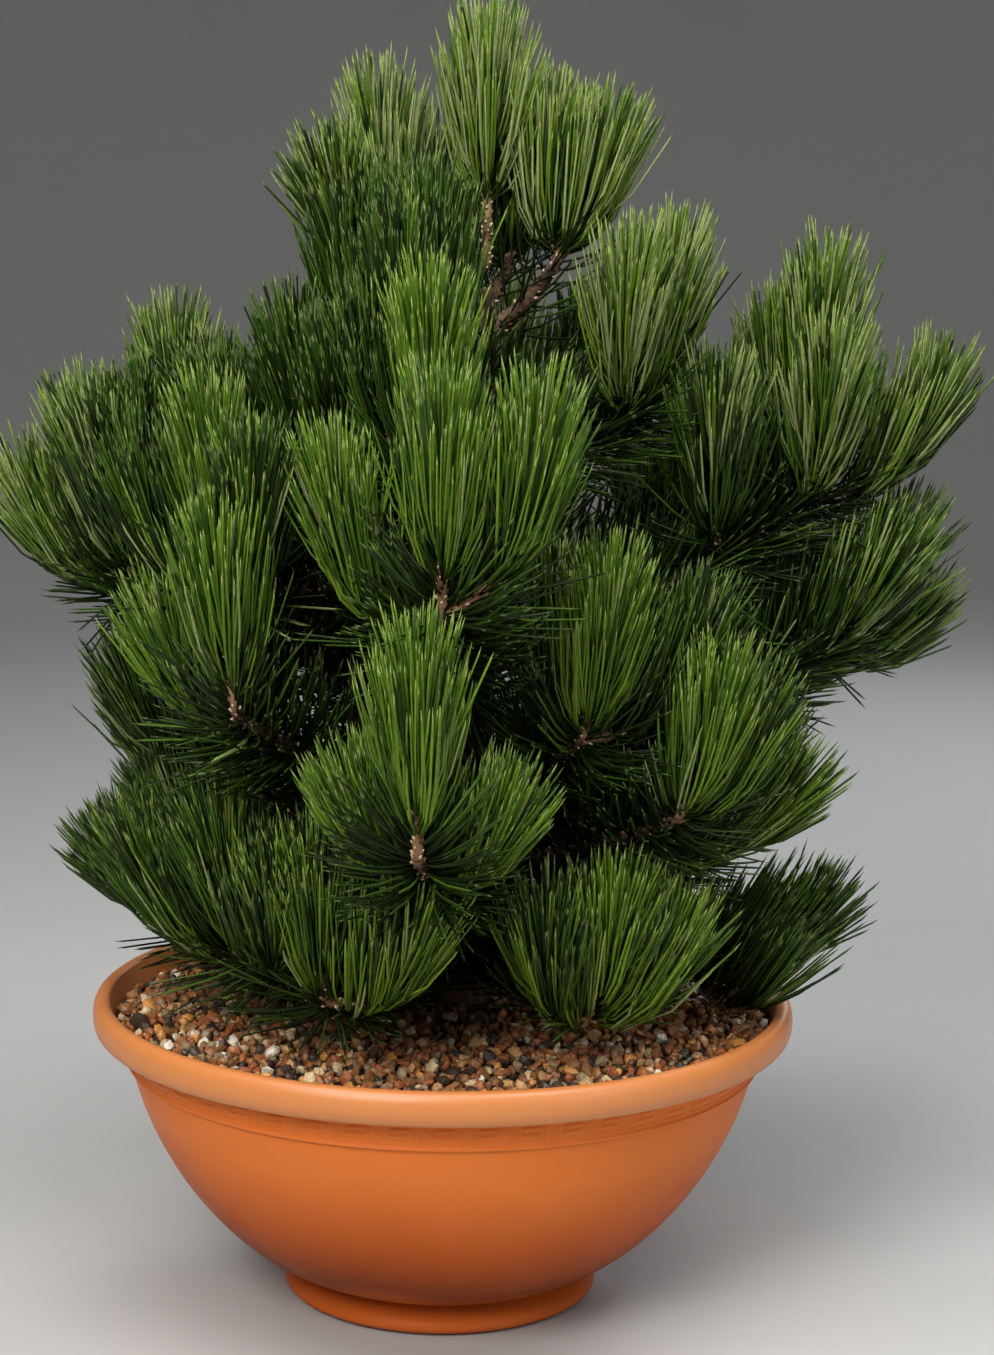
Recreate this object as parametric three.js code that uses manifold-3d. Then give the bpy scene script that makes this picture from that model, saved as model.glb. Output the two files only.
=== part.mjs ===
// Compact gem Bosnian pine in a terracotta-coloured bowl.
// Millimetres, +Z up. The origin is the centre of the bowl's flat underside.
// The view that the plant is known from looks along +Y, with +X to the right.
import * as THREE from "three";
import { mergeVertices } from "three/addons/utils/BufferGeometryUtils.js";
import Module from "manifold-3d";

const wasm = await Module();
wasm.setup();

const CLEAR = 0.3; // gap kept between neighbouring solids
const UP = new THREE.Vector3(0, 0, 1);
const { clamp, degToRad, lerp } = THREE.MathUtils;

// Bowl
const TURN_STEPS = 32;
const RIM_RADIUS = 190;
const LIP_HALF_WIDTH = 5.6;
const LIP_HALF_HEIGHT = 8.9;
const LIP_HEIGHT = 156.2; // middle of the rolled lip
const LIP_POWER = 2 / 2.3; // the lip's section is a superellipse
const LIP_SWEEP = 1.2 * Math.PI; // from the lip's lowest point, over its top, to its inner edge
const LIP_STEPS = 7;
const LIP_INNER_DROP = 6; // the inner edge of the lip lies this far below its middle
const WALL = 3.5;
const BODY_TOP = 147.3; // where the body runs in under the lip
const BODY_TOP_RADIUS = 171.8;
const NECK_HEIGHT = 15.3;
const NECK_RADIUS = 74.5;
const BODY_STEPS = 5;
const BODY_SPACING = 1.6; // steps are closer where the body bends more
const WALL_TURNS_OUT = 9; // the wall's inside turns out to the lip this far below the body's top
const BODY_POWER = 1.66;
const BODY_ROUNDNESS = 1.53;
const BAND_BOTTOM = 130; // the raised band below the lip
const BAND_PROUD = 1.2;
const FOOT_RADIUS = 79.6;
const FOOT_BULGE_RADIUS = 85.5;
const FOOT_BULGE_HEIGHT = 5.3;
const FOOT_CURVE = [
  [FOOT_RADIUS, 0],
  [84.7, 2.4],
  [FOOT_BULGE_RADIUS, FOOT_BULGE_HEIGHT],
  [82.9, 9.4],
  [76.3, 13.2],
];
const FLOOR = 4.5;
const FLOOR_RADIUS = 70;

// Gravel
const FILL_EDGE = 152;
const FILL_MIDDLE = 158;
const FILL_FLAT_RADIUS = 32; // the level patch that the trunk stands on
const SPLASH = 4; // how far above the gravel the lowest needles stay

// Trunk: x, y, height and radius of each ring, from the cut at the gravel to the tip
const TRUNK_SIDES = 10;
const TRUNK = [
  [5, 0, FILL_MIDDLE + CLEAR, 25],
  [5, 0, 166, 19],
  [6, -1, 182, 16],
  [9, -4, 240, 14],
  [13, -3, 310, 12],
  [12, 3, 380, 10],
  [15, 4, 450, 8],
  [18, 1, 510, 6.2],
  [17, 0, 546, 5],
];

// Boughs
const BOUGH_SIDES = 5;
const BOUGH_STEPS = 4;
const BEND_REACH = 0.62; // a bough's bend lies this share of the way out
const BEND_RISE = 0.42; // and this share of the way up
const BOUGH_ROOT_RADIUS = 5.6;
const BOUGH_TIP_RADIUS = 3.4;

// Seeds of the random draws, one for each mass
const FIRST_SEED = 101;
const SEED_STEP = 17;

// Foliage
const STEM_SIDES = 3;
const STEM_RADIUS = 2.8;
const LEADER_STEM = 8;
const KNOB_RADIUS = 5; // where the shoots of a whorl spring
const STEM_LENGTH = 16; // from the bough's tip to the first whorl
const LOWER_WHORL = 9; // from the bough's tip to the lower whorl
const TIER = 44; // added to the stem where a mass has two whorls
const TIP_REACH = 48; // needles beyond the bud
const SPREAD = 44; // from the leading shoot to a side shoot's bud
const SIDE_LENGTH = 0.84; // side shoot's height beside the leading shoot's
const SIDE_LIFT = 0.8; // how strongly side shoots turn upward
const OUTER_SPREAD = 0.3; // a side shoot on the outer side stands this share further away
const OUTER_DROP = 0.22; // and is this share shorter
const TURN_VARIES = 8;
const SPREAD_VARIES = 0.1;
const LENGTH_VARIES = 0.08;
const SIDE_BEND_OUT = 0.85; // a side shoot goes this share of the way aside before it turns up
const SIDE_BEND_UP = 0.14;
const LEAN_SAG_OUT = 0.2; // bow of a leading shoot for each degree of its lean
const LEAN_SAG_DOWN = 0.1;
const CORE_SIDES = 4;
const CORE_FOOT_RADIUS = 3.4;
const CORE_RADIUS = 8;
const BUD_RADIUS = 6;
const BUD_LENGTH = 3;
const SPRAY_RADIUS = 6; // of a spray at its foot
const NEEDLE = 78;
const NEEDLE_AT_BUD = 50;
const OPENING = 26; // degrees between shoot and needle at its foot
const OPENING_AT_BUD = 13;
const NEEDLE_LIFT = 0.3; // how strongly needles turn upward
const NEEDLE_VARIES = 0.08;
const SHORTER = 0.8; // a spray that would touch something is tried again this much shorter
const TRIES = 4;

// Where the rings of a shoot's core stand along it, and how thick they are
const LEADING_RINGS = [
  [0.18, CORE_FOOT_RADIUS],
  [0.42, CORE_RADIUS],
  [0.72, CORE_RADIUS],
  [0.97, BUD_RADIUS],
];
const SIDE_RINGS = [
  [0.24, CORE_FOOT_RADIUS],
  [0.6, CORE_RADIUS],
  [0.96, BUD_RADIUS],
];

// Each mass of foliage: what the needles of its leading shoot reach, that shoot's lean out of plumb
// in degrees and its stem's length, the height at which its limb leaves the trunk, and the turns at
// which side shoots stand in its upper and its lower whorl, in degrees, 0 away from the trunk. A few
// have a spread of their own, or a length of their own for the side shoots.
const ON_TRUNK = [
  { name: "leader", top: [14, 0, 692], lean: 0, shoot: 96, root: 546, upper: [] },
  { name: "top_left", top: [-45, 10, 665], lean: 7, shoot: 62, root: 515, upper: [75], side: 0.55 },
  { name: "top_right", top: [94, 0, 648], lean: 24, shoot: 46, root: 520, upper: [170], spread: 24 },
  { name: "top_back_left", top: [-17, 66, 643], lean: 12, shoot: 64, root: 500, upper: [75, 0] },
  { name: "top_back_right", top: [50, 38, 652], lean: 18, shoot: 48, root: 538, upper: [70] },
  {
    name: "centre_upper", top: [-13, -70, 612], lean: 8, shoot: 66, root: 480, upper: [-100],
    spread: 34,
  },
  { name: "left_upper", top: [-61, -50, 605], lean: 12, shoot: 70, root: 460, upper: [90] },
  { name: "right_upper", top: [126, -20, 591], lean: 15, shoot: 66, root: 450, upper: [-90, 90] },
  { name: "centre", top: [-12, -120, 563], lean: 8, shoot: 66, root: 410, upper: [-100] },
  { name: "left_mid", top: [-92, -58, 548], lean: 18, shoot: 66, root: 432, upper: [-30, 80] },
  { name: "back_upper", top: [28, 130, 560], lean: 18, shoot: 66, root: 440, upper: [0, 95, -95] },
  { name: "low_left_front", top: [-127, -110, 302], lean: 22, shoot: 58, root: 200, upper: [-54, 80] },
  { name: "low_centre", top: [-71, -150, 290], lean: 16, shoot: 54, root: 178, upper: [85], spread: 58 },
];
const ON_BOUGHS = [
  {
    name: "left_far", top: [-156, 10, 542], lean: 10, shoot: 62, root: 366, upper: [75, -110],
    side: 0.55,
  },
  { name: "left_bright", top: [-126, -92, 506], lean: 10, shoot: 70, root: 392, upper: [85, -60] },
  {
    name: "far_left", top: [-210, -10, 500], lean: 22, shoot: 70, root: 320, upper: [0, 95],
    lower: [-50], spread: 34,
  },
  {
    name: "centre_front", top: [-4, -190, 518], lean: 4, shoot: 76, root: 325, upper: [115],
    lower: [-85], spread: 54,
  },
  {
    name: "left_front", top: [-114, -140, 453], lean: 8, shoot: 70, root: 270, upper: [],
    lower: [-50], spread: 60,
  },
  {
    name: "front_centre", top: [-14, -210, 402], lean: 4, shoot: 72, root: 215, upper: [],
    lower: [-75, 60], spread: 28, side: 0.36,
  },
  {
    name: "right_centre", top: [84, -150, 430], lean: 20, shoot: 64, root: 276, upper: [80],
    lower: [150],
  },
  {
    name: "right_front", top: [143, -150, 380], lean: 24, shoot: 54, root: 235, upper: [75],
    spread: 28,
  },
  { name: "right_low", top: [208, -88, 298], lean: 66, shoot: 64, root: 212, upper: [-95, 95] },
  {
    name: "right_high", top: [201, 0, 581], lean: 6, shoot: 96, root: 340, upper: [0, -90, 110],
    lower: [-115], spread: 48, side: 0.62,
  },
  { name: "far_right_low", top: [272, 0, 434], lean: 48, shoot: 60, root: 262, upper: [35, -75] },
  {
    name: "right_low_far", top: [238, -6, 217], lean: 68, shoot: 60, root: 180, upper: [-50, 60],
    side: 0.6,
  },
  { name: "low_left_far", top: [-215, -10, 248], lean: 64, shoot: 50, root: 184, upper: [-95, 100] },
  {
    name: "low_right_front", top: [94, -150, 270], lean: 26, shoot: 50, root: 182, upper: [-80, 70],
    spread: 32,
  },
  { name: "back_right_high", top: [150, 110, 512], lean: 16, shoot: 66, root: 372, upper: [0, 90, -90] },
  { name: "back_left_high", top: [-100, 112, 500], lean: 18, shoot: 66, root: 350, upper: [0, 90, -90] },
  { name: "back_right", top: [215, 110, 425], lean: 28, shoot: 64, root: 252, upper: [0, 85, -85] },
  { name: "back_left", top: [-175, 105, 368], lean: 28, shoot: 64, root: 222, upper: [0, 85, -85] },
  { name: "back_mid_right", top: [105, 195, 410], lean: 24, shoot: 64, root: 224, upper: [0, 85, -85] },
  { name: "back_mid_left", top: [-45, 205, 400], lean: 24, shoot: 64, root: 256, upper: [0, 85, -85] },
  { name: "back_low_right", top: [130, 160, 285], lean: 34, shoot: 60, root: 184, upper: [0, 85, -85] },
  { name: "back_low_left", top: [-100, 175, 275], lean: 34, shoot: 60, root: 190, upper: [0, 85, -85] },
];

// Colours
const terracotta = { color: "#b5633c", roughness: 0.5, metalness: 0 };
const pebbles = { color: "#7a5a40", roughness: 0.9, metalness: 0 };
const bark = { color: "#6a5140", roughness: 0.95, metalness: 0 };
const needles = { color: "#4d7a2c", roughness: 0.6, metalness: 0 };

// The same seeded draws each run
function drawsFrom(seed) {
  let state = seed;
  return (low, high) => {
    state = (state * 16807) % 2147483647;
    return low + ((high - low) * state) / 2147483647;
  };
}

// A closed surface under construction
class Shell {
  positions = [];
  triangles = [];

  point(p) {
    this.positions.push(p.x, p.y, p.z);
    return this.positions.length / 3 - 1;
  }

  ring(frame, radius, sides, turn) {
    const first = this.positions.length / 3;
    for (let i = 0; i < sides; i++) {
      const angle = (2 * Math.PI * (i + turn)) / sides;
      this.point(
        frame.at
          .clone()
          .addScaledVector(frame.across, radius * Math.cos(angle))
          .addScaledVector(frame.over, radius * Math.sin(angle)),
      );
    }
    return first;
  }

  face(a, b, c) {
    this.triangles.push(a, b, c);
  }

  // The triangle a, b, c drawn out to a spike
  spike(a, b, c, tip) {
    const t = this.point(tip);
    this.face(a, b, t);
    this.face(b, c, t);
    this.face(c, a, t);
  }

  middle(a, b, c) {
    const sum = new THREE.Vector3();
    for (const i of [a, b, c]) sum.add(new THREE.Vector3().fromArray(this.positions, 3 * i));
    return sum.divideScalar(3);
  }

  solid() {
    return solidFrom(this.positions, this.triangles);
  }
}

function solidFrom(positions, triangles) {
  const mesh = new wasm.Mesh({
    numProp: 3,
    vertProperties: new Float32Array(positions),
    triVerts: new Uint32Array(triangles),
  });
  return new wasm.Manifold(mesh);
}

function geometryOf(solid) {
  const mesh = solid.getMesh();
  const geometry = new THREE.BufferGeometry();
  geometry.setAttribute("position", new THREE.BufferAttribute(mesh.vertProperties, 3));
  geometry.setIndex(new THREE.BufferAttribute(mesh.triVerts, 1));
  geometry.computeVertexNormals();
  return geometry;
}

// Frames that don't twist, one at each point of a path
function framesAlong(points) {
  const frames = [];
  let across = new THREE.Vector3(1, 0, 0);
  points.forEach((at, i) => {
    const before = points[Math.max(i - 1, 0)];
    const after = points[Math.min(i + 1, points.length - 1)];
    const along = after.clone().sub(before).normalize();
    across = across.clone().addScaledVector(along, -across.dot(along)).normalize();
    frames.push({ at, along, across, over: along.clone().cross(across) });
  });
  return frames;
}

// A closed round limb along a path
function limb(points, radii, sides) {
  const shell = new Shell();
  const frames = framesAlong(points);
  const rings = frames.map((frame, k) => shell.ring(frame, radii[k], sides, 0));
  for (let k = 0; k + 1 < rings.length; k++) {
    for (let i = 0; i < sides; i++) {
      const j = (i + 1) % sides;
      shell.face(rings[k] + i, rings[k] + j, rings[k + 1] + j);
      shell.face(rings[k] + i, rings[k + 1] + j, rings[k + 1] + i);
    }
  }
  for (let i = 1; i + 1 < sides; i++) {
    shell.face(rings[0], rings[0] + i + 1, rings[0] + i);
    shell.face(rings.at(-1), rings.at(-1) + i, rings.at(-1) + i + 1);
  }
  return shell.solid();
}

// Straight stretches with a radius at each end, which needles keep clear of
const obstacles = [];

function block(points, radii, marks) {
  for (let k = 0; k + 1 < points.length; k++) {
    obstacles.push({ a: points[k], b: points[k + 1], ra: radii[k], rb: radii[k + 1], ...marks });
  }
}

// The least gap between two tapering stretches
function gapBetween(s, t) {
  const d1 = s.b.clone().sub(s.a);
  const d2 = t.b.clone().sub(t.a);
  const r = s.a.clone().sub(t.a);
  const a = d1.dot(d1);
  const e = d2.dot(d2);
  const b = d1.dot(d2);
  const c = d1.dot(r);
  const f = d2.dot(r);
  const det = a * e - b * b;
  let u = det > 1e-9 ? clamp((b * f - c * e) / det, 0, 1) : 0;
  let v = clamp((b * u + f) / e, 0, 1);
  u = clamp((b * v - c) / a, 0, 1);
  v = clamp((b * u + f) / e, 0, 1);
  const p = s.a.clone().addScaledVector(d1, u);
  const q = t.a.clone().addScaledVector(d2, v);
  const radii = s.ra + (s.rb - s.ra) * u + t.ra + (t.rb - t.ra) * v;
  return p.distanceTo(q) - radii;
}

// Bowl and gravel

function bodyRadius(height) {
  const u = (height - NECK_HEIGHT) / (BODY_TOP - NECK_HEIGHT);
  const swell = (1 - (1 - u) ** BODY_POWER) ** (1 / BODY_ROUNDNESS);
  return NECK_RADIUS + (BODY_TOP_RADIUS - NECK_RADIUS) * swell;
}

function bodyHeights(low, high) {
  const heights = [];
  for (let i = 1; i <= BODY_STEPS; i++) {
    heights.push(low + (high - low) * (i / BODY_STEPS) ** BODY_SPACING);
  }
  return heights;
}

// The inside of the wall, from the floor's edge up to the lip
function innerProfile(inset) {
  const profile = [[FLOOR_RADIUS - inset, FLOOR + inset]];
  profile.push([FLOOR_RADIUS - inset, NECK_HEIGHT]);
  for (const z of bodyHeights(NECK_HEIGHT + WALL, BODY_TOP - WALL_TURNS_OUT)) {
    profile.push([bodyRadius(z) - WALL - inset, z]);
  }
  profile.push([RIM_RADIUS - 2 * LIP_HALF_WIDTH - inset, LIP_HEIGHT - LIP_INNER_DROP]);
  return profile;
}

// A turned solid. Its seam and its points on the axis are merged, and flat faces there left out.
function lathe(profile) {
  const points = profile.map(([r, z]) => new THREE.Vector2(r, z));
  const turned = new THREE.LatheGeometry(points, TURN_STEPS);
  turned.rotateX(Math.PI / 2);
  turned.deleteAttribute("normal");
  turned.deleteAttribute("uv");
  const merged = mergeVertices(turned, 1e-3);
  const corners = merged.index.array;
  const kept = [];
  for (let i = 0; i < corners.length; i += 3) {
    const [a, b, c] = corners.subarray(i, i + 3);
    if (a !== b && b !== c && c !== a) kept.push(a, b, c);
  }
  return solidFrom(merged.attributes.position.array, kept);
}

// A cosine or sine that gives the squarer section of the lip
function squared(value) {
  return Math.sign(value) * Math.abs(value) ** LIP_POWER;
}

function makePot() {
  const profile = [[0, 0], ...FOOT_CURVE, [NECK_RADIUS, NECK_HEIGHT]];
  for (const z of bodyHeights(NECK_HEIGHT, BAND_BOTTOM)) profile.push([bodyRadius(z), z]);
  profile.push([bodyRadius(BAND_BOTTOM) + BAND_PROUD, BAND_BOTTOM + BAND_PROUD]);
  profile.push([bodyRadius(BODY_TOP) + BAND_PROUD, BODY_TOP]);
  const lipMiddle = RIM_RADIUS - LIP_HALF_WIDTH;
  for (let i = 0; i <= LIP_STEPS; i++) {
    const angle = -Math.PI / 2 + (LIP_SWEEP * i) / LIP_STEPS;
    const across = squared(Math.cos(angle));
    const rise = squared(Math.sin(angle));
    profile.push([lipMiddle + LIP_HALF_WIDTH * across, LIP_HEIGHT + LIP_HALF_HEIGHT * rise]);
  }
  profile.push(...innerProfile(0).reverse(), [0, FLOOR]);
  return lathe(profile);
}

function makeFill() {
  const wall = innerProfile(CLEAR);
  const edge = [wall.at(-1)[0], FILL_EDGE];
  const patch = [FILL_FLAT_RADIUS, FILL_MIDDLE];
  return lathe([[0, FLOOR + CLEAR], ...wall, edge, patch, [0, FILL_MIDDLE]]);
}

// Trunk

const trunkPoints = TRUNK.map(([x, y, z]) => new THREE.Vector3(x, y, z));
const trunkRadii = TRUNK.map((ring) => ring[3]);

function trunkAt(height) {
  const k = Math.max(1, TRUNK.findIndex((ring) => ring[2] >= height));
  const share = (height - TRUNK[k - 1][2]) / (TRUNK[k][2] - TRUNK[k - 1][2]);
  return trunkPoints[k - 1].clone().lerp(trunkPoints[k], share);
}

// Foliage

// The way a mass leans: away from the trunk, by its lean
function massFrame({ top, lean, root }) {
  const foot = trunkAt(root);
  const out = new THREE.Vector3(top[0] - foot.x, top[1] - foot.y, 0).normalize();
  const angle = degToRad(lean);
  const axis = UP.clone().multiplyScalar(Math.cos(angle)).addScaledVector(out, Math.sin(angle));
  return { out, axis };
}

// The curve from the trunk through the bough to the upper whorl
function limbCurve(row) {
  const { axis } = massFrame(row);
  const end = new THREE.Vector3(...row.top).addScaledVector(axis, -(row.shoot + TIP_REACH));
  const root = trunkAt(row.root);
  const bend = root.clone().lerp(end, BEND_REACH);
  bend.z = lerp(root.z, end.z, BEND_RISE);
  return new THREE.QuadraticBezierCurve3(root, bend, end);
}

// A number that the draws make a little larger or smaller
function varied(value, share, draw) {
  return value * draw(1 - share, 1 + share);
}

function sideShoot(node, frame, turnDegrees, length, spread, draw) {
  const turn = degToRad(turnDegrees + draw(-TURN_VARIES, TURN_VARIES));
  const aside = varied(spread * (1 + OUTER_SPREAD * Math.cos(turn)), SPREAD_VARIES, draw);
  const height = varied(length * (1 - OUTER_DROP * Math.cos(turn)), LENGTH_VARIES, draw);
  const level = frame.out.clone().addScaledVector(frame.axis, -frame.out.dot(frame.axis)).normalize();
  const side = level
    .clone()
    .multiplyScalar(Math.cos(turn))
    .addScaledVector(frame.axis.clone().cross(level), Math.sin(turn));
  const rise = frame.axis.clone().addScaledVector(UP, SIDE_LIFT).normalize();
  const bend = node.clone().addScaledVector(side, aside * SIDE_BEND_OUT);
  bend.addScaledVector(rise, height * SIDE_BEND_UP);
  const bud = node.clone().addScaledVector(side, aside).addScaledVector(rise, height);
  return new THREE.QuadraticBezierCurve3(node.clone(), bend, bud);
}

// All shoots of a mass: the leading one first, then the upper whorl's and the lower whorl's
function shootsOf(row, stem) {
  const { shoot, upper, lower = [], spread = SPREAD, side = SIDE_LENGTH } = row;
  const draw = drawsFrom(row.seed);
  const frame = massFrame(row);
  const node = stem.at(-1);
  const bud = node.clone().addScaledVector(frame.axis, shoot);
  const bend = node.clone().lerp(bud, 0.5);
  bend.addScaledVector(frame.out, LEAN_SAG_OUT * row.lean);
  bend.addScaledVector(UP, -LEAN_SAG_DOWN * row.lean);
  const shoots = [new THREE.QuadraticBezierCurve3(node.clone(), bend, bud)];
  for (const turn of upper) shoots.push(sideShoot(node, frame, turn, shoot * side, spread, draw));
  for (const turn of lower) shoots.push(sideShoot(stem[1], frame, turn, shoot * side, spread, draw));
  return shoots;
}

// A shoot's core: its rings, and the point where it is rooted in the whorl
function coreOf(curve, number) {
  const rings = number === 0 ? LEADING_RINGS : SIDE_RINGS;
  const at = rings.map(([t]) => curve.getPoint(t));
  const radii = rings.map((ring) => ring[1]);
  const foot = curve.getPoint(0).addScaledVector(curve.getTangent(0), -KNOB_RADIUS);
  const bud = curve.getPoint(1).addScaledVector(curve.getTangent(1), BUD_LENGTH);
  return { at, radii, foot, bud };
}

// The tip of a needle spray on a face of the core, or null where something is in its way
function sprayTip(foot, core, k, share, mass, draw) {
  const along = core.at[k + 1].clone().sub(core.at[k]).normalize();
  const away = foot.clone().sub(core.at[k]);
  away.addScaledVector(along, -away.dot(along)).normalize();
  const opening = degToRad(lerp(OPENING, OPENING_AT_BUD, share));
  const aim = along.multiplyScalar(Math.cos(opening)).addScaledVector(away, Math.sin(opening));
  aim.addScaledVector(UP, NEEDLE_LIFT * (1 - share)).normalize();
  let length = varied(lerp(NEEDLE, NEEDLE_AT_BUD, share), NEEDLE_VARIES, draw);
  for (let attempt = 0; attempt < TRIES; attempt++) {
    const tip = foot.clone().addScaledVector(aim, length);
    const stretch = { a: foot, b: tip, ra: SPRAY_RADIUS, rb: CLEAR, core };
    const low = Math.hypot(tip.x, tip.y) < RIM_RADIUS && tip.z < FILL_MIDDLE + SPLASH;
    const free = obstacles.every(
      (other) => other.core === core || other.stemOf === mass || gapBetween(stretch, other) > CLEAR,
    );
    if (free && !low) {
      obstacles.push(stretch);
      return tip;
    }
    length *= SHORTER;
  }
  return null;
}

// A shoot: a slim core that grows out of the whorl, with sprays of needles standing out of it
function shootSolid(core, mass, draw) {
  const shell = new Shell();
  const frames = framesAlong(core.at);
  const last = frames.length - 1;
  const rings = frames.map((frame, k) => shell.ring(frame, core.radii[k], CORE_SIDES, k / 2));
  const foot = shell.point(core.foot);
  const top = shell.point(core.bud);
  const spray = (corners, k, share) => {
    const tip = sprayTip(shell.middle(...corners), core, k, share, mass, draw);
    if (tip) shell.spike(...corners, tip);
    else shell.face(...corners);
  };
  for (let i = 0; i < CORE_SIDES; i++) {
    const j = (i + 1) % CORE_SIDES;
    shell.face(rings[0] + j, rings[0] + i, foot);
    for (let k = 0; k < last; k++) {
      spray([rings[k] + i, rings[k] + j, rings[k + 1] + i], k, (k + 1 / 3) / last);
      spray([rings[k] + j, rings[k + 1] + j, rings[k + 1] + i], k, (k + 2 / 3) / last);
    }
    spray([rings[last] + i, rings[last] + j, top], last - 1, 1);
  }
  return shell.solid();
}

// Everything in place

const group = new THREE.Group();

function place(name, solid, finish) {
  const mesh = new THREE.Mesh(geometryOf(solid), new THREE.MeshStandardMaterial(finish));
  mesh.name = name;
  group.add(mesh);
}

place("pot", makePot(), terracotta);
place("gravel_fill", makeFill(), pebbles);
const trunk = limb(trunkPoints, trunkRadii, TRUNK_SIDES);
place("trunk", trunk, bark);
const trunkClearance = limb(trunkPoints, trunkRadii.map((r) => r + CLEAR), TRUNK_SIDES);
block(trunkPoints, trunkRadii, {});
const lipPoints = Array.from({ length: TURN_STEPS + 1 }, (_, i) => {
  const angle = (2 * Math.PI * i) / TURN_STEPS;
  const radius = RIM_RADIUS - LIP_HALF_WIDTH;
  return new THREE.Vector3(radius * Math.cos(angle), radius * Math.sin(angle), LIP_HEIGHT);
});
block(lipPoints, lipPoints.map(() => LIP_HALF_HEIGHT + CLEAR), {});

// The points of a mass's bough and stem, from the trunk to its upper whorl
function planOf(entry, number) {
  const row = { ...entry, seed: FIRST_SEED + SEED_STEP * number };
  const onBough = number >= ON_TRUNK.length;
  const curve = limbCurve(row);
  const length = curve.getLength();
  const plan = { row, onBough };
  if (onBough) {
    const split = length - STEM_LENGTH - (row.lower ? TIER : 0);
    plan.boughPoints = [];
    for (let i = 0; i <= BOUGH_STEPS; i++) {
      plan.boughPoints.push(curve.getPointAt((split * i) / BOUGH_STEPS / length));
    }
    plan.boughRadii = plan.boughPoints.map((_, i) =>
      lerp(BOUGH_ROOT_RADIUS, BOUGH_TIP_RADIUS, i / BOUGH_STEPS),
    );
    const shares = [split + CLEAR, split + LOWER_WHORL, length];
    plan.stem = shares.map((along) => curve.getPointAt(along / length));
    plan.stemRadii = [BOUGH_TIP_RADIUS, row.lower ? KNOB_RADIUS : STEM_RADIUS, KNOB_RADIUS];
  } else if (row.name === "leader") {
    const tip = trunkPoints.at(-1);
    plan.stem = [CLEAR, LEADER_STEM].map((up) => tip.clone().addScaledVector(UP, up));
    plan.stemRadii = [trunkRadii.at(-1), KNOB_RADIUS];
  } else {
    plan.stem = [0, 1 / 3, 2 / 3, 1].map((share) => curve.getPointAt(share));
    plan.stemRadii = [KNOB_RADIUS, BOUGH_TIP_RADIUS, STEM_RADIUS, KNOB_RADIUS];
  }
  return plan;
}

const plans = [...ON_TRUNK, ...ON_BOUGHS].map(planOf);

for (const plan of plans) {
  if (plan.onBough) block(plan.boughPoints, plan.boughRadii, {});
  block(plan.stem, plan.stemRadii, { stemOf: plan.row.name });
  plan.cores = shootsOf(plan.row, plan.stem).map(coreOf);
  for (const core of plan.cores) {
    block([core.foot, ...core.at, core.bud], [0, ...core.radii, 0], { core });
  }
}

for (const plan of plans) {
  const { name, seed } = plan.row;
  const draw = drawsFrom(seed + 1);
  let mass = limb(plan.stem, plan.stemRadii, STEM_SIDES);
  for (const core of plan.cores) mass = mass.add(shootSolid(core, name, draw));
  if (plan.onBough) {
    const bough = limb(plan.boughPoints, plan.boughRadii, BOUGH_SIDES);
    place(name + "_bough", bough.subtract(trunkClearance), bark);
  } else {
    mass = mass.subtract(trunkClearance);
  }
  place(name, mass, needles);
}

export default group;
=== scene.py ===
import math

import bmesh
import bpy
import numpy as np
from mathutils import Matrix, Vector, noise


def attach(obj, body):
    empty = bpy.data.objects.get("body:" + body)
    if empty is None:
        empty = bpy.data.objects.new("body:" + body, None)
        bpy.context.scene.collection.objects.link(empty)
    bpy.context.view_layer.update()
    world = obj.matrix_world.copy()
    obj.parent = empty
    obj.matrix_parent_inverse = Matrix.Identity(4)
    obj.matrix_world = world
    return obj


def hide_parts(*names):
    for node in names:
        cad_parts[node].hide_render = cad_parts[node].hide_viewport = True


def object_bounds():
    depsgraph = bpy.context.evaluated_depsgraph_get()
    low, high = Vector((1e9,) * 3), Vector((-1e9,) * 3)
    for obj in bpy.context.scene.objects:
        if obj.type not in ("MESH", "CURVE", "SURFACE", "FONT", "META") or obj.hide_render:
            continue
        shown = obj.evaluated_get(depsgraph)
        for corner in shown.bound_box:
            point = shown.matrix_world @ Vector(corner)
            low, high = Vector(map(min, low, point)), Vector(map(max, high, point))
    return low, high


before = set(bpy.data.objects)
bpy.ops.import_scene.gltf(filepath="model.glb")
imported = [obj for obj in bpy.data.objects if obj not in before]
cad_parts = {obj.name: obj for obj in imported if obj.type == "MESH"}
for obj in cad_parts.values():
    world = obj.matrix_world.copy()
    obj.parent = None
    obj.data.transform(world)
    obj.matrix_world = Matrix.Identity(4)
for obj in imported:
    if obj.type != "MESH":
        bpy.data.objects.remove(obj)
cad_box = [list(corner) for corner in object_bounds()]

MM = 0.001
SEED = 2718  # of all random draws but the shoots' own
UP = np.array([0.0, 0.0, 1.0])

# Camera and picture
CAMERA_AT = (0.0, -1403.0, 548.0)
CAMERA_DOWN = 8.51  # degrees
CAMERA_RIGHT = 1.07
CAMERA_ROLL = 0.95
FOCAL_PIXELS = 2639.0
PICTURE_HEIGHT = 1355.0
SENSOR_HEIGHT = 24.0

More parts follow.
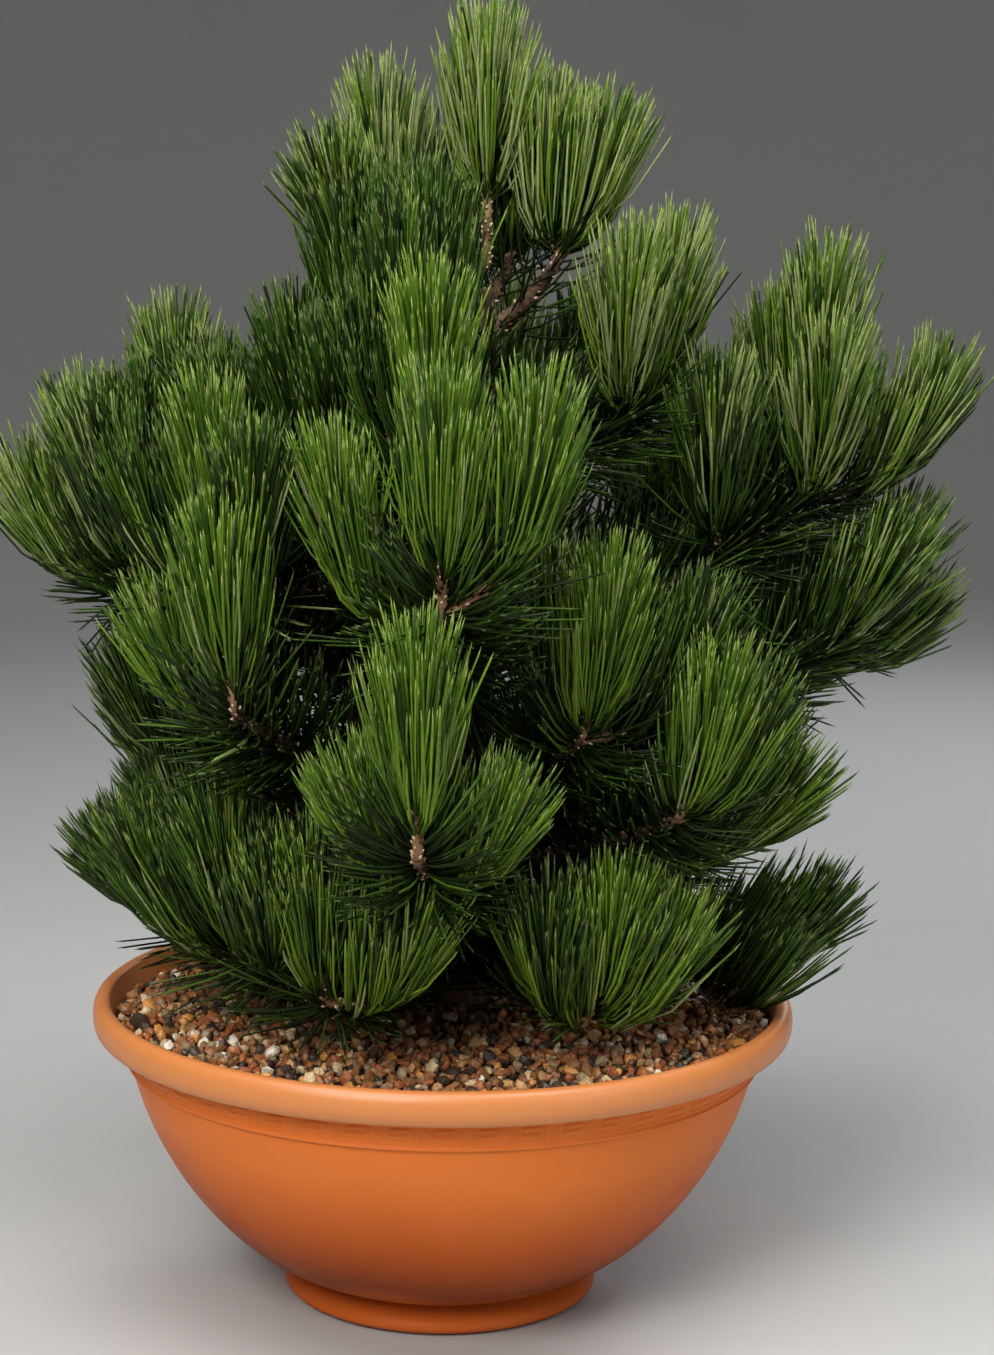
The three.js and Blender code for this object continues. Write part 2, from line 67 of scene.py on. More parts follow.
# Bowl, as in the part's source
RIM_RADIUS = 190.0
LIP_HALF_WIDTH = 5.6
LIP_HALF_HEIGHT = 8.9
LIP_HEIGHT = 156.2
LIP_POWER = 2 / 2.3
LIP_SWEEP = 1.2 * math.pi
LIP_INNER_DROP = 6.0
WALL = 3.5
WALL_TURNS_OUT = 9.0
BODY_TOP = 147.3
BODY_TOP_RADIUS = 171.8
NECK_HEIGHT = 15.3
NECK_RADIUS = 74.5
BODY_POWER = 1.66
BODY_ROUNDNESS = 1.53
BAND_BOTTOM = 130.0
FOOT_CURVE = [(79.6, 0.0), (84.7, 2.4), (85.5, 5.3), (82.9, 9.4), (76.3, 13.2)]
FLOOR_HEIGHT = 4.5
FLOOR_RADIUS = 70.0
BOWL_STEPS = 180

# Gravel
FILL_EDGE = 152.0
FILL_MIDDLE = 158.0
FILL_FLAT_RADIUS = 32.0
FILL_RADIUS = 177.0

# Trunk, with the x, y, height and radius of each ring
TRUNK = np.array([
    (5, 0, 158.3, 25),
    (5, 0, 166, 19),
    (6, -1, 182, 16),
    (9, -4, 240, 14),
    (13, -3, 310, 12),
    (12, 3, 380, 10),
    (15, 4, 450, 8),
    (18, 1, 510, 6.2),
    (17, 0, 546, 5),
])
BARK_SIDES = 44
BARK_SPACING = 2.4
PLATE_SIZE = 9.0
FLARE_RISE = 9.0
FLARE_DEPTH = 2.2
FLARE_RIDGES = 5

# Boughs
BEND_REACH = 0.62
BEND_RISE = 0.42
BOUGH_ROOT_RADIUS = 5.6
STEM_RADIUS = 2.8
STEM_LENGTH = 16.0
LEADER_STEM = 8.0
LOWER_WHORL = 9.0
TIER = 44.0

# Shoots
FIRST_SEED = 101
SEED_STEP = 17
TIP_REACH = 48.0
SPREAD = 44.0
SIDE_LENGTH = 0.84
SIDE_LIFT = 0.8
OUTER_SPREAD = 0.3
OUTER_DROP = 0.22
TURN_VARIES = 8.0
SPREAD_VARIES = 0.1
LENGTH_VARIES = 0.08
SIDE_BEND_OUT = 0.85
SIDE_BEND_UP = 0.14
LEAN_SAG_OUT = 0.2
LEAN_SAG_DOWN = 0.1
SHOOT_RADII = (2.7, 2.1)
BUD_LENGTHS = (12, 17)
BUD_RADIUS = 3.3
BUD_RINGS = 10
BUD_SIDES = 8

# Needles
NEEDLE_WIDTH = 1.5
NEEDLES_PER_SHOOT = 310
LEANING_KEEPS = 0.62  # of the needles, on shoots that lean far out
LEANING_REACH = 1.14  # how much longer their needles are
LEANING_RISES = (0.45, 0.8)  # of a unit step along a shoot that leans far out, and along an upright one
LEAFY_LENGTH = 62.0  # of a shoot's end, which bears this year's needles
NEEDLE_LENGTH = 76.0
NEEDLE_AT_BUD = 52.0
NEEDLE_VARIES = 0.26
OPENING = 52.0  # degrees between shoot and needle at its foot
OPENING_AT_BUD = 24.0  # at most
OPENING_VARIES = 4.5
STRAY_SHARE = 0.1  # of the needles, which open further
STRAY_OPENING = 16.0
FOOT_SHARE = 0.3  # of a needle's length before it bends
KEEPS_HEADING = 0.1  # how far a needle's end still points where its foot did
KEEPS_AT_BUD = 0.6
END_LIFT = 0.3
END_VARIES = 0.05
CLUMP_SIZE = 9.0  # of the tufts in which neighbouring needles lean together
CLUMP_LEAN = 0.17
CLUMP_OUT = 12.0  # how far out along a needle its tuft is told
CURVED_RINGS = (0.0, 0.28, 0.56, 0.94)
STRAIGHT_RINGS = (0.0, 0.4, 0.93)
CURVED_OVER = 24.0  # degrees that a needle turns before it gets the finer rings
OLD_PER_MM = 2.4
OLD_FROM = 0.08  # share of the limb below its first old needle
TUFT_PER_MM = 3.6  # old needles round a whorl
TUFT_LENGTH = 58.0
BARE_PER_MM = 1.4  # old needles on the foot of a shoot
GRAVEL_CLEAR = 22.0  # height over the gravel that stays free of needles
OLD_LENGTH = 60.0
TOP_HEIGHTS = (600.0, 645.0)  # of a mass, between which its limb grows bare
TOP_KEEPS_OLD = 0.2
TRUNK_PER_MM = 8.0  # old needles on the upper trunk, which close the crown's middle
TRUNK_LENGTH = 84.0
OLD_OPENING = 62.0
PAST_BOX = 3.0  # how far a needle's tip may pass the box of the solids
GOLDEN_TURN = math.radians(137.508)


def mass(name, top, lower=(), side=SIDE_LENGTH, spread=SPREAD, light=1.0, **shape):
    """A mass of foliage, as in the part's source.

    top is what the needles of its leading shoot reach, lean that shoot's angle from upright, shoot its
    length, and root the height at which the limb leaves the trunk. upper and lower are the turns of the
    side shoots in its two whorls, side their length as a share of the leading shoot's, and spread how
    far they stand off. light is the share of the light that it gets, which only this file has.
    """
    # A mass's light is painted into its needles' tones: less light gives darker tones, as painted shade.
    return dict(name=name, top=top, lower=lower, side=side, spread=spread, light=light, **shape)


ON_TRUNK = [
    mass("leader", (14, 0, 692), lean=0, shoot=96, root=546, upper=[]),
    mass("top_left", (-45, 10, 665), lean=7, shoot=62, root=515, upper=[75], side=0.55),
    mass("top_right", (94, 0, 648), lean=24, shoot=46, root=520, upper=[170], spread=24),
    mass("top_back_left", (-17, 66, 643), lean=12, shoot=64, root=500, upper=[75, 0]),
    mass("top_back_right", (50, 38, 652), lean=18, shoot=48, root=538, upper=[70]),
    mass("centre_upper", (-13, -70, 612), lean=8, shoot=66, root=480, upper=[-100], spread=34),
    mass("left_upper", (-61, -50, 605), lean=12, shoot=70, root=460, upper=[90]),
    mass("right_upper", (126, -20, 591), lean=15, shoot=66, root=450, upper=[-90, 90]),
    mass("centre", (-12, -120, 563), lean=8, shoot=66, root=410, upper=[-100]),
    mass("left_mid", (-92, -58, 548), lean=18, shoot=66, root=432, upper=[-30, 80]),
    mass("back_upper", (28, 130, 560), lean=18, shoot=66, root=440, upper=[0, 95, -95]),
    mass("low_left_front", (-127, -110, 302), lean=22, shoot=58, root=200, upper=[-54, 80], light=0.35),
    mass("low_centre", (-71, -150, 290), lean=16, shoot=54, root=178, upper=[85], spread=58),
]
ON_BOUGHS = [
    mass("left_far", (-156, 10, 542), lean=10, shoot=62, root=366, upper=[75, -110], side=0.55),
    mass("left_bright", (-126, -92, 506), lean=10, shoot=70, root=392, upper=[85, -60]),
    mass("far_left", (-210, -10, 500), lean=22, shoot=70, root=320, upper=[0, 95], lower=[-50], spread=34),
    mass("centre_front", (-4, -190, 518), lean=4, shoot=76, root=325, upper=[115], lower=[-85], spread=54),
    mass("left_front", (-114, -140, 453), lean=8, shoot=70, root=270, upper=[], lower=[-50], spread=60),
    mass(
        "front_centre", (-14, -210, 402), lean=4, shoot=72, root=215, upper=[], lower=[-75, 60],
        spread=28, side=0.36,
    ),
    mass("right_centre", (84, -150, 430), lean=20, shoot=64, root=276, upper=[80], lower=[150]),
    mass("right_front", (143, -150, 380), lean=24, shoot=54, root=235, upper=[75], spread=28),
    mass("right_low", (208, -88, 298), lean=66, shoot=64, root=212, upper=[-95, 95]),
    mass(
        "right_high", (201, 0, 581), lean=6, shoot=96, root=340, upper=[0, -90, 110], lower=[-115],
        spread=48, side=0.62, light=0.75,
    ),
    mass("far_right_low", (272, 0, 434), lean=48, shoot=60, root=262, upper=[35, -75]),
    mass("right_low_far", (238, -6, 217), lean=68, shoot=60, root=180, upper=[-50, 60], side=0.6),
    mass("low_left_far", (-215, -10, 248), lean=64, shoot=50, root=184, upper=[-95, 100]),
    mass("low_right_front", (94, -150, 270), lean=26, shoot=50, root=182, upper=[-80, 70], spread=32),
    mass("back_right_high", (150, 110, 512), lean=16, shoot=66, root=372, upper=[0, 90, -90]),
    mass("back_left_high", (-100, 112, 500), lean=18, shoot=66, root=350, upper=[0, 90, -90]),
    mass("back_right", (215, 110, 425), lean=28, shoot=64, root=252, upper=[0, 85, -85]),
    mass("back_left", (-175, 105, 368), lean=28, shoot=64, root=222, upper=[0, 85, -85]),
    mass("back_mid_right", (105, 195, 410), lean=24, shoot=64, root=224, upper=[0, 85, -85]),
    mass("back_mid_left", (-45, 205, 400), lean=24, shoot=64, root=256, upper=[0, 85, -85]),
    mass("back_low_right", (130, 160, 285), lean=34, shoot=60, root=184, upper=[0, 85, -85]),
    mass("back_low_left", (-100, 175, 275), lean=34, shoot=60, root=190, upper=[0, 85, -85]),
]


# Small helpers


def lerp(a, b, share):
    return a + (b - a) * share


def unit(vectors):
    return vectors / np.linalg.norm(vectors, axis=-1, keepdims=True)


def swung(start, aside, angles):
    """A direction, swung by each angle towards the one aside of it."""
    return start * np.cos(angles)[:, None] + aside * np.sin(angles)[:, None]


def smooth_step(low, high, values):
    share = np.clip((values - low) / (high - low), 0, 1)
    return share * share * (3 - 2 * share)


def draws_from(seed):
    """The same draws as in the part's source."""
    state = seed

    def draw(low, high):
        nonlocal state
        state = (state * 16807) % 2147483647
        return low + (high - low) * state / 2147483647

    return draw


def travelled_to(path):
    """How far along a path each of its points lies."""
    return np.concatenate([[0], np.cumsum(np.linalg.norm(np.diff(path, axis=0), axis=1))])


class Curve:
    """A quadratic curve, which can be asked for a place by its share of the length too."""

    STEPS = np.linspace(0, 1, 201)

    def __init__(self, root, bend, end):
        self.corners = [np.asarray(corner, float) for corner in (root, bend, end)]
        self.travelled = travelled_to(self.at(self.STEPS))
        self.length = self.travelled[-1]

    def at(self, t):
        t = np.asarray(t, float)[..., None]
        root, bend, end = self.corners
        return (1 - t) ** 2 * root + 2 * t * (1 - t) * bend + t * t * end

    def heading(self, t):
        t = np.asarray(t, float)[..., None]
        root, bend, end = self.corners
        return unit((1 - t) * (bend - root) + t * (end - bend))

    def parameter(self, share):
        return np.interp(share * self.length, self.travelled, self.STEPS)


def make_mesh(name, points, faces, tones, materials):
    """A smooth object of triangles, in metres, whose tones number its materials."""
    mesh = bpy.data.meshes.new(name)
    mesh.vertices.add(len(points))
    mesh.vertices.foreach_set("co", points.astype(np.float32).ravel())
    mesh.loops.add(faces.size)
    mesh.loops.foreach_set("vertex_index", faces.astype(np.int32).ravel())
    mesh.polygons.add(len(faces))
    mesh.polygons.foreach_set("loop_start", np.arange(0, faces.size, 3, dtype=np.int32))
    mesh.polygons.foreach_set("material_index", tones.astype(np.int32))
    mesh.shade_smooth()
    for material in materials:
        mesh.materials.append(material)
    mesh.update(calc_edges=True)
    mesh.validate()
    made = bpy.data.objects.new(name, mesh)
    bpy.context.scene.collection.objects.link(made)
    return made


class Heap:
    """Points, faces and material numbers, gathered for one mesh."""

    def __init__(self):
        self.points = []
        self.faces = []
        self.tones = []
        self.count = 0

    def add(self, points, faces, tones):
        self.points.append(points)
        self.faces.append(faces + self.count)
        self.tones.append(np.broadcast_to(tones, len(faces)))
        self.count += len(points)

    def make(self, name, materials, replaced=()):
        points, faces, tones = (np.concatenate(v) for v in (self.points, self.faces, self.tones))
        piece = make_mesh(name, points * MM, faces, tones, materials)
        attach(piece, "root")
        if replaced:
            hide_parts(*replaced)
        return piece


def frames_along(path):
    """Directions across and over a path at each of its points, without twist."""
    headings = unit(np.gradient(path, axis=0))
    start = np.cross(headings[0], UP)
    last = start if np.linalg.norm(start) > 0.1 else np.array([1.0, 0.0, 0.0])
    across = np.empty_like(path)
    for i, heading in enumerate(headings):
        last = unit(last - heading * (last @ heading))
        across[i] = last
    return across, np.cross(headings, across)


def grid_faces(rows, columns):
    """Triangles over a grid of rows whose columns close into a ring."""
    row, column = np.meshgrid(np.arange(rows - 1), np.arange(columns), indexing="ij")
    a = row * columns + column
    b = row * columns + (column + 1) % columns
    first = np.stack([a, b, b + columns], axis=-1).reshape(-1, 3)
    second = np.stack([a, b + columns, a + columns], axis=-1).reshape(-1, 3)
    return np.concatenate([first, second])


def closed_faces(rows, columns):
    """Such a grid, closed by fans round two more points at its ends."""
    around = np.arange(columns)
    following = (around + 1) % columns
    last = (rows - 1) * columns
    foot = np.stack([following, around, np.full(columns, rows * columns)], axis=-1)
    top = np.stack([around + last, following + last, np.full(columns, rows * columns + 1)], axis=-1)
    return np.concatenate([grid_faces(rows, columns), foot, top])


def tube(path, radii, sides, relief=0.0):
    """A closed round limb along a path, with a relief on its surface."""
    across, over = frames_along(path)
    ring = swung(across[:, None], over[:, None], 2 * math.pi * np.arange(sides) / sides)
    points = path[:, None] + ring * (radii[:, None] + relief)[..., None]
    points = np.concatenate([points.reshape(-1, 3), path[:1], path[-1:]])
    return points, closed_faces(len(path), sides)


def turned(radius, angle, height):
    """Places at a radius, an angle and a height round the upright axis."""
    places = np.broadcast_arrays(radius * np.cos(angle), radius * np.sin(angle), height)
    return np.stack(places, axis=-1)


def lathe(profile, steps):
    """A closed turned form. The profile starts and ends on the axis."""
    profile = np.asarray(profile, float)
    angles = 2 * math.pi * np.arange(steps) / steps
    rings = profile[1:-1]
    points = turned(rings[:, :1], angles, rings[:, 1:]).reshape(-1, 3)
    ends = np.array([(0, 0, profile[0, 1]), (0, 0, profile[-1, 1])])
    return np.concatenate([points, ends]), closed_faces(len(rings), steps)


# Materials


class Shader:
    """A Principled material with its nodes at hand."""

    def __init__(self, name, roughness, specular=0.5):
        self.material = bpy.data.materials.new(name)
        self.material.use_nodes = True
        self.nodes = self.material.node_tree.nodes
        self.links = self.material.node_tree.links
        self.surface = self.nodes["Principled BSDF"]
        self.surface.inputs["Roughness"].default_value = roughness
        self.surface.inputs["Specular IOR Level"].default_value = specular
        self.place = self.nodes.new("ShaderNodeTexCoord").outputs["Object"]

    def noise(self, scale, detail=3.0, stretch=None):
        place = self.place
        if stretch:
            mapping = self.nodes.new("ShaderNodeMapping")
            mapping.inputs["Scale"].default_value = stretch
            self.links.new(place, mapping.inputs["Vector"])
            place = mapping.outputs["Vector"]
        texture = self.nodes.new("ShaderNodeTexNoise")
        texture.inputs["Scale"].default_value = scale
        texture.inputs["Detail"].default_value = detail
        self.links.new(place, texture.inputs["Vector"])
        return texture.outputs["Fac"]

    def ramp(self, value, stops):
        node = self.nodes.new("ShaderNodeValToRGB")
        ramp = node.color_ramp
        while len(ramp.elements) < len(stops):
            ramp.elements.new(0.5)
        for element, (position, colour) in zip(ramp.elements, stops):
            element.position = position
            element.color = (*colour, 1)
        self.links.new(value, node.inputs["Fac"])
        return node.outputs["Color"]

    def spread(self, value, low, high, within=(0.3, 0.7)):
        """The value, mapped from the range within to the one from low to high."""
        node = self.nodes.new("ShaderNodeMapRange")
        node.inputs["From Min"].default_value = within[0]
        node.inputs["From Max"].default_value = within[1]
        node.inputs["To Min"].default_value = low
        node.inputs["To Max"].default_value = high
        self.links.new(value, node.inputs["Value"])
        return node.outputs["Result"]

    def bump(self, value, distance, strength=1.0):
        node = self.nodes.new("ShaderNodeBump")
        node.inputs["Strength"].default_value = strength
        node.inputs["Distance"].default_value = distance * MM
        self.links.new(value, node.inputs["Height"])
        self.links.new(node.outputs["Normal"], self.surface.inputs["Normal"])

    def set(self, socket, value):
        self.links.new(value, self.surface.inputs[socket])


def shade(colour, factor):
    return tuple(min(1.0, channel * factor) for channel in colour)


def mottled(name, colour, roughness, scale, contrast=0.25, grain=0.15, specular=0.5):
    """A material whose colour and roughness wander a little round one base colour."""
    shader = Shader(name, roughness, specular)
    patches = shader.noise(scale)
    stops = [(0.3, shade(colour, 1 - contrast)), (0.7, shade(colour, 1 + contrast))]
    shader.set("Base Color", shader.ramp(patches, stops))
    shader.set("Roughness", shader.spread(patches, roughness * 1.15, roughness * 0.85))
    shader.bump(shader.noise(scale * 3), grain)
    return shader.material


NEEDLE_TONES = {
    "needle_bright": (0.120, 0.205, 0.014),
    "needle_fresh": (0.080, 0.155, 0.010),
    "needle_silver": (0.205, 0.255, 0.088),
    "needle_mid": (0.048, 0.105, 0.008),
    "needle_deep": (0.024, 0.054, 0.006),
    # The darkest tone is that of old needles, and is also painted shade on shoots deep in the crown and at
    # needles' feet.
    "needle_old_and_shade": (0.009, 0.019, 0.003),
}
TIP_TONES = {
    "needle_tip_light": (0.140, 0.200, 0.034),
    "needle_tip_dark": (0.045, 0.075, 0.012),
}
LIGHT_TONES = 3  # the first tones, whose tips are light
# The darker tone at a needle's foot is painted shade.
FOOT_SHADE_TONES = np.array([1, 3, 3, 4, 5, 5])  # for each tone, the darker one at the needle's foot
STONES = {
    "stone_brown": (0.240, 0.098, 0.030),
    "stone_red": (0.330, 0.098, 0.027),
    "stone_tan": (0.460, 0.245, 0.090),
    "stone_dark": (0.045, 0.027, 0.014),
    "stone_grey": (0.270, 0.185, 0.100),
    "stone_ochre": (0.560, 0.240, 0.050),
    "stone_cream": (0.620, 0.460, 0.260),
    "stone_white": (0.740, 0.680, 0.540),
}
STONE_SHARES = (0.30, 0.20, 0.11, 0.18, 0.09, 0.04, 0.06, 0.02)


def needle_materials():
    return [
        mottled(name, colour, 0.38, 420, contrast=0.2, grain=0.12, specular=0.22)
        for name, colour in {**NEEDLE_TONES, **TIP_TONES}.items()
    ]


def plastic_material(name, stops, specular):
    """Smooth terracotta-coloured plastic, whose colour changes with height and is a little clouded."""
    shader = Shader(name, 0.42, specular)
    parts = shader.nodes.new("ShaderNodeSeparateXYZ")
    shader.links.new(shader.place, parts.inputs["Vector"])
    # The colour's change with height is painted shade and light: darker low down, paler higher up.
    rise = shader.spread(parts.outputs["Z"], -0.15, 1, within=(0, RIM_RADIUS * MM))
    clouded = shader.nodes.new("ShaderNodeMath")
    shader.links.new(rise, clouded.inputs[0])
    shader.links.new(shader.spread(shader.noise(9, detail=5), 0, 0.1), clouded.inputs[1])
    shader.set("Base Color", shader.ramp(clouded.outputs["Value"], stops))
    shader.set("Roughness", shader.spread(shader.noise(60, detail=6), 0.36, 0.48))
    shader.bump(shader.noise(900, detail=2), 0.05)
    return shader.material


OLD_BARK = [
    (0.32, (0.018, 0.011, 0.007)),
    (0.48, (0.062, 0.034, 0.019)),
    (0.62, (0.120, 0.070, 0.040)),
    (0.78, (0.210, 0.140, 0.090)),
]
YOUNG_BARK = [
    (0.35, (0.090, 0.045, 0.020)),
    (0.50, (0.210, 0.115, 0.055)),
    (0.70, (0.400, 0.250, 0.140)),
]


def bark_material(name, stops):
    shader = Shader(name, 0.9, specular=0.25)
    plates = shader.noise(90, detail=6, stretch=(1, 1, 0.45))
    shader.set("Base Color", shader.ramp(plates, stops))
    shader.bump(shader.noise(400, detail=6, stretch=(1, 1, 0.5)), 0.6)
    return shader.material


# The plant's rule, as in the part's source


def trunk_at(height):
    return np.stack([np.interp(height, TRUNK[:, 2], TRUNK[:, k]) for k in range(3)], axis=-1)


def mass_frame(row):
    foot = trunk_at(row["root"])
    out = unit(np.array([row["top"][0] - foot[0], row["top"][1] - foot[1], 0.0]))
    angle = math.radians(row["lean"])
    return out, UP * math.cos(angle) + out * math.sin(angle)


def limb_curve(row):
    out, axis = mass_frame(row)
    end = np.array(row["top"], float) - axis * (row["shoot"] + TIP_REACH)
    root = trunk_at(row["root"])
    bend = lerp(root, end, BEND_REACH)
    bend[2] = lerp(root[2], end[2], BEND_RISE)
    return Curve(root, bend, end)


def varied(value, share, draw):
    return value * draw(1 - share, 1 + share)


def side_shoot(node, out, axis, turn_degrees, length, spread, draw):
    turn = math.radians(turn_degrees + draw(-TURN_VARIES, TURN_VARIES))
    aside = varied(spread * (1 + OUTER_SPREAD * math.cos(turn)), SPREAD_VARIES, draw)
    height = varied(length * (1 - OUTER_DROP * math.cos(turn)), LENGTH_VARIES, draw)
    level = unit(out - axis * (out @ axis))
    side = level * math.cos(turn) + np.cross(axis, level) * math.sin(turn)
    rise = unit(axis + UP * SIDE_LIFT)
    bend = node + side * aside * SIDE_BEND_OUT + rise * height * SIDE_BEND_UP
    return Curve(node, bend, node + side * aside + rise * height)


def shoots_of(row, node, lower_node):
    draw = draws_from(row["seed"])
    out, axis = mass_frame(row)
    bud = node + axis * row["shoot"]
    bend = lerp(node, bud, 0.5) + out * LEAN_SAG_OUT * row["lean"] - UP * LEAN_SAG_DOWN * row["lean"]
    shoots = [Curve(node, bend, bud)]
    length = row["shoot"] * row["side"]
    for foot, turns in ((node, row["upper"]), (lower_node, row["lower"])):
        for turn in turns:
            shoots.append(side_shoot(foot, out, axis, turn, length, row["spread"], draw))
    return shoots


def plan_of(entry, number):
    """A mass with its limb from the trunk to its whorl, and its shoots."""
    row = dict(entry, seed=FIRST_SEED + SEED_STEP * number)
    on_bough = number >= len(ON_TRUNK)
    curve = limb_curve(row)
    lower_node = None
    if on_bough:
        split = curve.length - STEM_LENGTH - (TIER if row["lower"] else 0)
        lower_node = curve.at(curve.parameter((split + LOWER_WHORL) / curve.length))
    if row["name"] == "leader":
        tip = TRUNK[-1, :3]
        curve = Curve(tip, tip + UP * LEADER_STEM / 2, tip + UP * LEADER_STEM)
    return dict(row, on_bough=on_bough, curve=curve, shoots=shoots_of(row, curve.at(1), lower_node))


PLANS = [plan_of(entry, number) for number, entry in enumerate(ON_TRUNK + ON_BOUGHS)]
chance = np.random.default_rng(SEED)
noise.seed_set(SEED)  # or else Blender seeds noise_vector by the clock


# Limbs


OLD_WOOD, SCAR, YOUNG_WOOD = range(3)  # the limbs' materials, in their order


def bark_relief(path, radii, angles):
    """Sunken cracks round raised plates, as an offset at each point of a tube's surface."""
    travelled = travelled_to(path)
    from_edge = np.empty((len(path), len(angles)))
    for i, radius in enumerate(radii):
        for j, angle in enumerate(angles):
            place = Vector((math.cos(angle) * radius, math.sin(angle) * radius, travelled[i] * 0.5))
            place += noise.noise_vector(place / PLATE_SIZE) * PLATE_SIZE * 0.5
            nearest, second = noise.voronoi(place / PLATE_SIZE)[0][:2]
            from_edge[i, j] = second - nearest
    return smooth_step(0.0, 0.35, from_edge) - 0.7


def add_trunk(heap):
    heights = np.arange(TRUNK[0, 2], TRUNK[-1, 2], BARK_SPACING)
    path = trunk_at(heights)
    radii = np.interp(heights, TRUNK[:, 2], TRUNK[:, 3])
    smooth = np.ones(9) / 9
    for k in (0, 1):
        padded = np.pad(path[:, k], len(smooth) // 2, mode="edge")
        path[:, k] = np.convolve(padded, smooth, mode="valid")
    angles = 2 * math.pi * np.arange(BARK_SIDES) / BARK_SIDES
    depth = np.clip(radii / 10, 0.5, 1.6)[:, None]
    flare = np.exp(-(heights - heights[0]) / FLARE_RISE)[:, None]
    ridges = flare * FLARE_DEPTH * np.sin(FLARE_RIDGES * angles + 0.6)
    relief = bark_relief(path, radii, angles) * depth + ridges
    heap.add(*tube(path, radii, BARK_SIDES, relief), OLD_WOOD)


def out_of_limb(curve, share, turn):
    """The limb's middle, its heading and a direction straight out of it, at shares of its length."""
    t = curve.parameter(share)
    heading = curve.heading(t)
    across = unit(np.cross(heading, UP + 0.1))
    return curve.at(t), heading, swung(across, np.cross(heading, across), turn)


def scales(curve, from_share, to_share, radius_at, per_mm, size, pale_share):
    """Small raised bracts and needle scars, in a spiral round a limb."""
    count = int((to_share - from_share) * curve.length * per_mm)
    share = from_share + (to_share - from_share) * (np.arange(count) + 0.5) / count
    turn = np.arange(count) * GOLDEN_TURN + chance.uniform(-0.25, 0.25, count)
    middle, heading, away = out_of_limb(curve, share, turn)
    side = np.cross(heading, away)
    grown = size * chance.uniform(0.7, 1.25, count)[:, None]
    seat = middle + away * (radius_at(share)[:, None] - 0.4)
    corners = np.stack(
        [
            seat - heading * grown * 0.5,
            seat + side * grown * 0.36,
            seat + heading * grown * 0.42,
            seat - side * grown * 0.36,
            seat + heading * grown * 0.45 + away * (0.5 + grown * 0.32),
        ],
        axis=1,
    )
    template = np.array([(0, 1, 4), (1, 2, 4), (2, 3, 4), (3, 0, 4), (0, 3, 2), (0, 2, 1)])
    faces = (template + 5 * np.arange(count)[:, None, None]).reshape(-1, 3)
    pale = chance.uniform(size=count) < pale_share
    return corners.reshape(-1, 3), faces, np.repeat(np.where(pale, SCAR, OLD_WOOD), len(template))


def limb_radius(share):
    return lerp(BOUGH_ROOT_RADIUS, STEM_RADIUS, share**0.8)


def shoot_radius(share):
    return lerp(*SHOOT_RADII, share)


def rings_along(curve, radius_at, steps):
    """The middles and radii of rings at even steps along a limb."""
    shares = np.linspace(0, 1, steps + 1)
    return curve.at(curve.parameter(shares)), radius_at(shares)


def add_limb(heap, curve, radius_at, sides, spacing, tone):
    path, radii = rings_along(curve, radius_at, max(4, int(curve.length / spacing)))
    heap.add(*tube(path, radii, sides, chance.uniform(-0.35, 0.35, (len(path), sides))), tone)


def make_limbs():
    heap = Heap()
    add_trunk(heap)
    for plan in PLANS:
        if plan["name"] != "leader":
            limb = plan["curve"]
            add_limb(heap, limb, limb_radius, sides=10, spacing=3.5, tone=OLD_WOOD)
            heap.add(*scales(limb, 0.03, 1, limb_radius, per_mm=1.5, size=3.4, pale_share=0.3))
        for shoot in plan["shoots"]:
            add_limb(heap, shoot, shoot_radius, sides=7, spacing=5, tone=YOUNG_WOOD)
            heap.add(*scales(shoot, 0, 0.8, shoot_radius, per_mm=1.1, size=3.2, pale_share=0.7))
    scar = mottled("needle_scar", (0.520, 0.390, 0.250), 0.8, 300)
    boughs = [plan["name"] + "_bough" for plan in PLANS if plan["on_bough"]]
    materials = [bark_material("old_bark", OLD_BARK), scar, bark_material("young_bark", YOUNG_BARK)]
    heap.make("limbs", materials, ["trunk", *boughs])


def make_buds():
    """A resinous bud at the end of each shoot, with its scales as a relief."""
    heap = Heap()
    rise = np.linspace(0, 1, BUD_RINGS)
    radii = BUD_RADIUS * np.sin(math.pi * np.clip(0.16 + 0.84 * rise, 0, 0.985)) ** 0.7
    ring, side = np.meshgrid(np.arange(BUD_RINGS), np.arange(BUD_SIDES), indexing="ij")
    relief = 0.3 * ((ring + side) % 2) * (radii[:, None] > 1)
    for plan in PLANS:
        for shoot in plan["shoots"]:
            from_end = rise * chance.uniform(*BUD_LENGTHS) - 1.5
            path = shoot.at(1) + shoot.heading(1) * from_end[:, None]
            heap.add(*tube(path, radii, BUD_SIDES, relief), 0)
    heap.make("buds", [mottled("bud_scales", (0.560, 0.370, 0.250), 0.55, 260, contrast=0.4)])


# Needles


def distance_to(points, starts, ends, start_radii, end_radii):
    """The least gap between each point and any of the tapering stretches."""
    least = np.full(len(points), np.inf)
    for start, end, first, last in zip(starts, ends, start_radii, end_radii):
        span = end - start
        share = np.clip((points - start) @ span / (span @ span), 0, 1)
        gap = np.linalg.norm(points - start - share[:, None] * span, axis=1)
        np.minimum(least, gap - lerp(first, last, share), out=least)
    return least


def obstacles_for(plan):
    """Tapering stretches of the trunk and of the other masses' limbs: their starts, ends and radii."""
    limbs = [(TRUNK[:, :3], TRUNK[:, 3])]
    for other in PLANS:
        if other is not plan and other["name"] != "leader":
            limbs.append(rings_along(other["curve"], limb_radius, 4))
    stretches = [(path[:-1], path[1:], radii[:-1], radii[1:]) for path, radii in limbs]
    return [np.concatenate(parts) for parts in zip(*stretches)]


def fill_height(x, y):
    return np.interp(np.hypot(x, y), [FILL_FLAT_RADIUS, FILL_RADIUS], [FILL_MIDDLE, FILL_EDGE])


